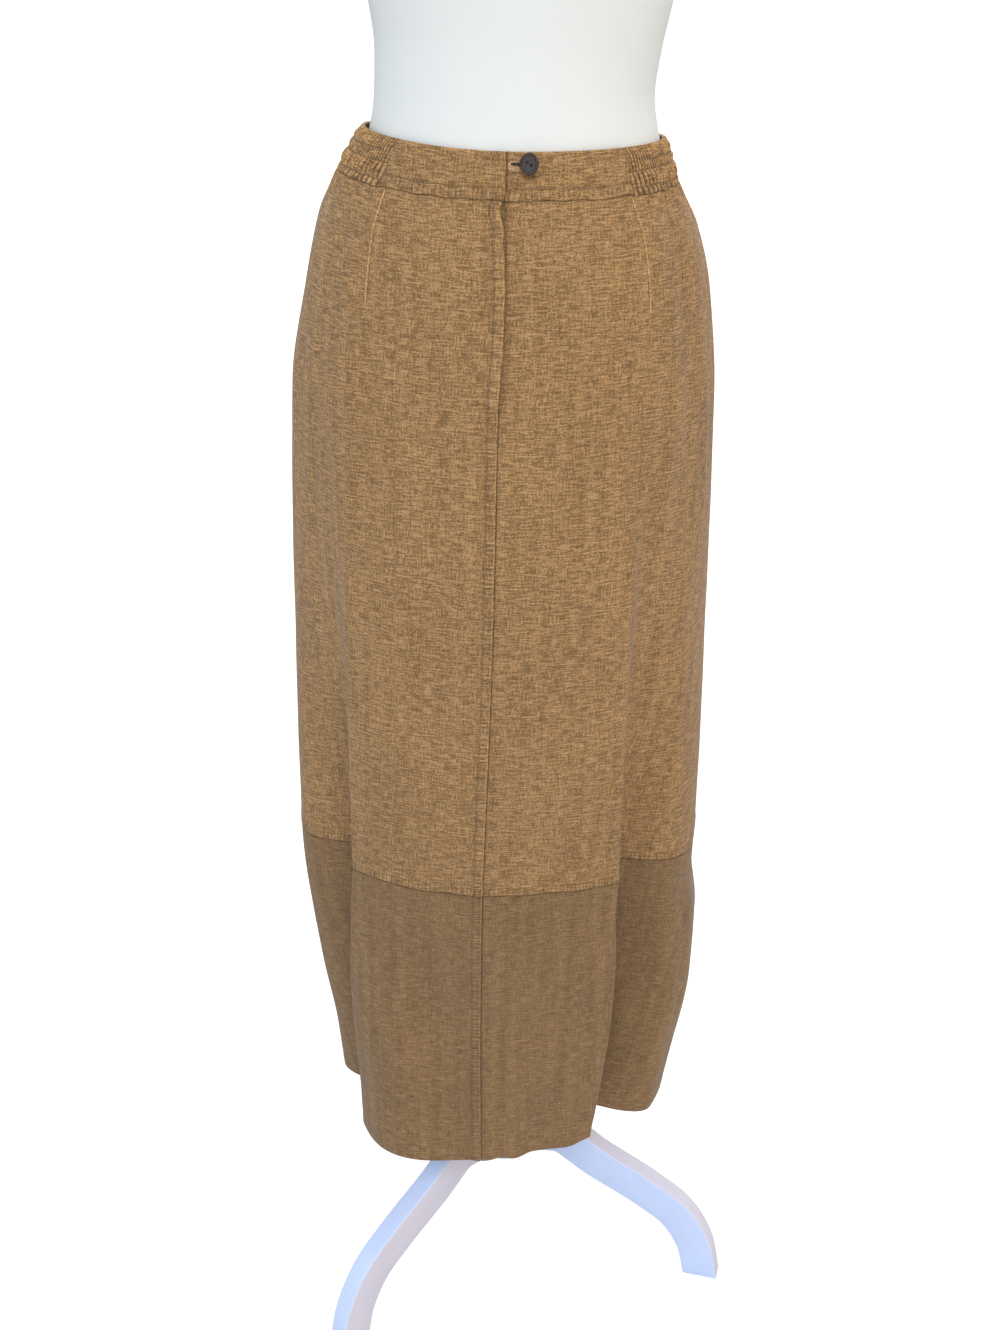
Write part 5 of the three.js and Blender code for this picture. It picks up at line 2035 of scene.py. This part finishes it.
SUNS = (
    Sun("key", 47.0, 4.0, 2.15, 26.0, (1.0, 0.97, 0.93)),
    Sun("cool_side", 65.0, -70.0, 0.6, 50.0, (0.72, 0.87, 1.0)),
    Sun("warm_side", 65.0, 72.0, 0.62, 50.0, (1.0, 0.76, 0.48)),
    Sun("back", 50.0, 176.0, 1.4, 60.0, (1.0, 0.98, 0.95)),
)


@dataclass
class Studio:
    """The pale floor, the soft light and the camera, in metres and radians."""

    camera_at: Triple = (-0.018577, -1.489373, 1.4044)
    pitch: float = 0.42723
    roll: float = 0.01109
    yaw: float = -0.00679
    focal: float = 1600.0
    picture_high: float = 1330.0
    floor_half: float = 60.0
    ambient: float = 0.38

    def build(self) -> None:
        """Set up the studio."""
        self.camera()
        self.floor()
        self.sky()
        bpy.context.scene.view_settings.view_transform = "Standard"
        for sun in SUNS:
            self.hang(sun)
        log.info("studio: camera, floor and %d lights", len(SUNS))

    def camera(self) -> None:
        """Place the camera at the photograph's viewing angle."""
        data = bpy.data.cameras.new("camera")
        data.sensor_fit = "VERTICAL"
        data.sensor_height = 36.0
        data.lens = self.focal / self.picture_high * 36.0
        data.clip_start, data.clip_end = 0.05, 200.0
        camera = bpy.data.objects.new("camera", data)
        bpy.context.scene.collection.objects.link(camera)
        right = np.array([math.cos(self.yaw), -math.sin(self.yaw), 0.0])
        ahead = np.array([math.sin(self.yaw), math.cos(self.yaw), 0.0])
        up = ahead * math.sin(self.pitch) + np.array([0.0, 0.0, math.cos(self.pitch)])
        forward = ahead * math.cos(self.pitch) - np.array([0.0, 0.0, math.sin(self.pitch)])
        side = right * math.cos(self.roll) + up * math.sin(self.roll)
        top = up * math.cos(self.roll) - right * math.sin(self.roll)
        turned = Matrix((side, top, -forward)).transposed()
        camera.matrix_world = Matrix.Translation(Vector(self.camera_at)) @ turned.to_4x4()
        bpy.context.scene.camera = camera

    def floor(self) -> None:
        """Lay the plain pale floor."""
        half = self.floor_half / MM
        corners = np.array([(-half, -half, 0.0), (half, -half, 0.0), (half, half, 0.0), (-half, half, 0.0)])
        mesh = bpy.data.meshes.new("floor")
        mesh.from_pydata((corners * MM).tolist(), [], [(0, 1, 2, 3)])
        floor = bpy.data.objects.new("floor", mesh)
        bpy.context.scene.collection.objects.link(floor)
        material, graph, principled = shader("pale_floor")
        speck = graph.noise(graph.in_part(9), 3.0)
        mixed = graph.mix(graph.span(speck, 0.3, 0.7), (0.61, 0.61, 0.61, 1), (0.63, 0.63, 0.63, 1))
        graph.join(mixed, principled.inputs["Base Color"])
        seen = graph.add("ShaderNodeLightPath").outputs["Is Camera Ray"]
        graph.join(graph.times(seen, 0.62), principled.inputs["Emission Strength"])
        settle(principled, roughness=0.9, specular_ior_level=0.0, emission_color=(1.0, 1.0, 1.0, 1.0))
        mesh.materials.append(material)

    def sky(self) -> None:
        """Light the studio evenly from all round."""
        world = bpy.data.worlds.new("studio")
        world.use_nodes = True
        background = world.node_tree.nodes["Background"]
        background.inputs["Color"].default_value = (0.97, 0.985, 1.0, 1.0)
        graph = Graph(world.node_tree)
        seen = graph.add("ShaderNodeLightPath").outputs["Is Camera Ray"]
        graph.join(graph.span(seen, 0.0, 1.0, self.ambient, 1.1), background.inputs["Strength"])
        bpy.context.scene.world = world

    def hang(self, sun: Sun) -> None:
        """Hang a soft, distant light."""
        data = bpy.data.lights.new(sun.name, "SUN")
        data.energy, data.angle, data.color = sun.power, math.radians(sun.wide), sun.colour
        light = bpy.data.objects.new(sun.name, data)
        light.rotation_euler = (math.radians(sun.tilt), 0.0, math.radians(sun.turn))
        bpy.context.scene.collection.objects.link(light)


@dataclass
class Skirt:
    """The whole skirt, piece by piece."""

    form: SkirtForm = field(default_factory=SkirtForm)

    def pieces(self) -> list[ClothPiece]:
        """Return every cut and sewn piece."""
        form = self.form
        waist = (
            "waistband_back_left_cloth", "waistband_back_right_cloth",
            "elastic_left_cloth", "elastic_right_cloth",
        )
        front = ("waistband_front_cloth", "elastic_left_cloth", "elastic_right_cloth")
        return [
            FlatWaist("waistband_front", form, LINEN_WAIST, BAND_WALL),
            FlatWaist(
                "waistband_back_left", form, LINEN_WAIST, BAND_WALL, start=FLAT_BACK_LEFT, end=0.0, side=Side.LEFT
            ),
            FlatWaist(
                "waistband_back_right", form, LINEN_WAIST, BAND_WALL, start=0.0, end=FLAT_BACK_RIGHT, side=Side.RIGHT
            ),
            ElasticSide("elastic_right", form, LINEN_WAIST, BAND_WALL, Hold.GATHERED, 1.4),
            ElasticSide(
                "elastic_left", form, LINEN_WAIST, BAND_WALL, Hold.GATHERED, 1.4,
                start=FLAT_FRONT_LEFT - 360.0, end=FLAT_BACK_LEFT,
            ),
            FrontPanel("front", form, LINEN_FRONT, hangs_on=front),
            BackPanel("back_left", form, LINEN_LEFT, hangs_on=waist, side=Side.LEFT),
            BackPanel("back_right", form, LINEN_RIGHT, hangs_on=waist, side=Side.RIGHT),
            LowerBand("lower_band_front", form, LINEN_BAND, hangs_on=("front_cloth",)),
            LowerBand("lower_band_back_left", form, LINEN_BAND, hangs_on=("back_left_cloth",), side=Side.LEFT),
            LowerBand("lower_band_back_right", form, LINEN_BAND, hangs_on=("back_right_cloth",), side=Side.RIGHT),
            ZipTape("zip_tape", form, TAPE, 0.9, hangs_on=("back_left_cloth", "back_right_cloth")),
        ]

    def build(self) -> None:
        """Build every piece, then the closure."""
        for piece in self.pieces():
            piece.build()
        Closure(self.form).build()


def main() -> None:
    """Build the dressed part in its studio."""
    logging.basicConfig(level=logging.INFO, format="%(message)s")
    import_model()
    Studio().build()
    DressForm().build()
    Tripod().build()
    Skirt().build()


if __name__ == "__main__":
    main()
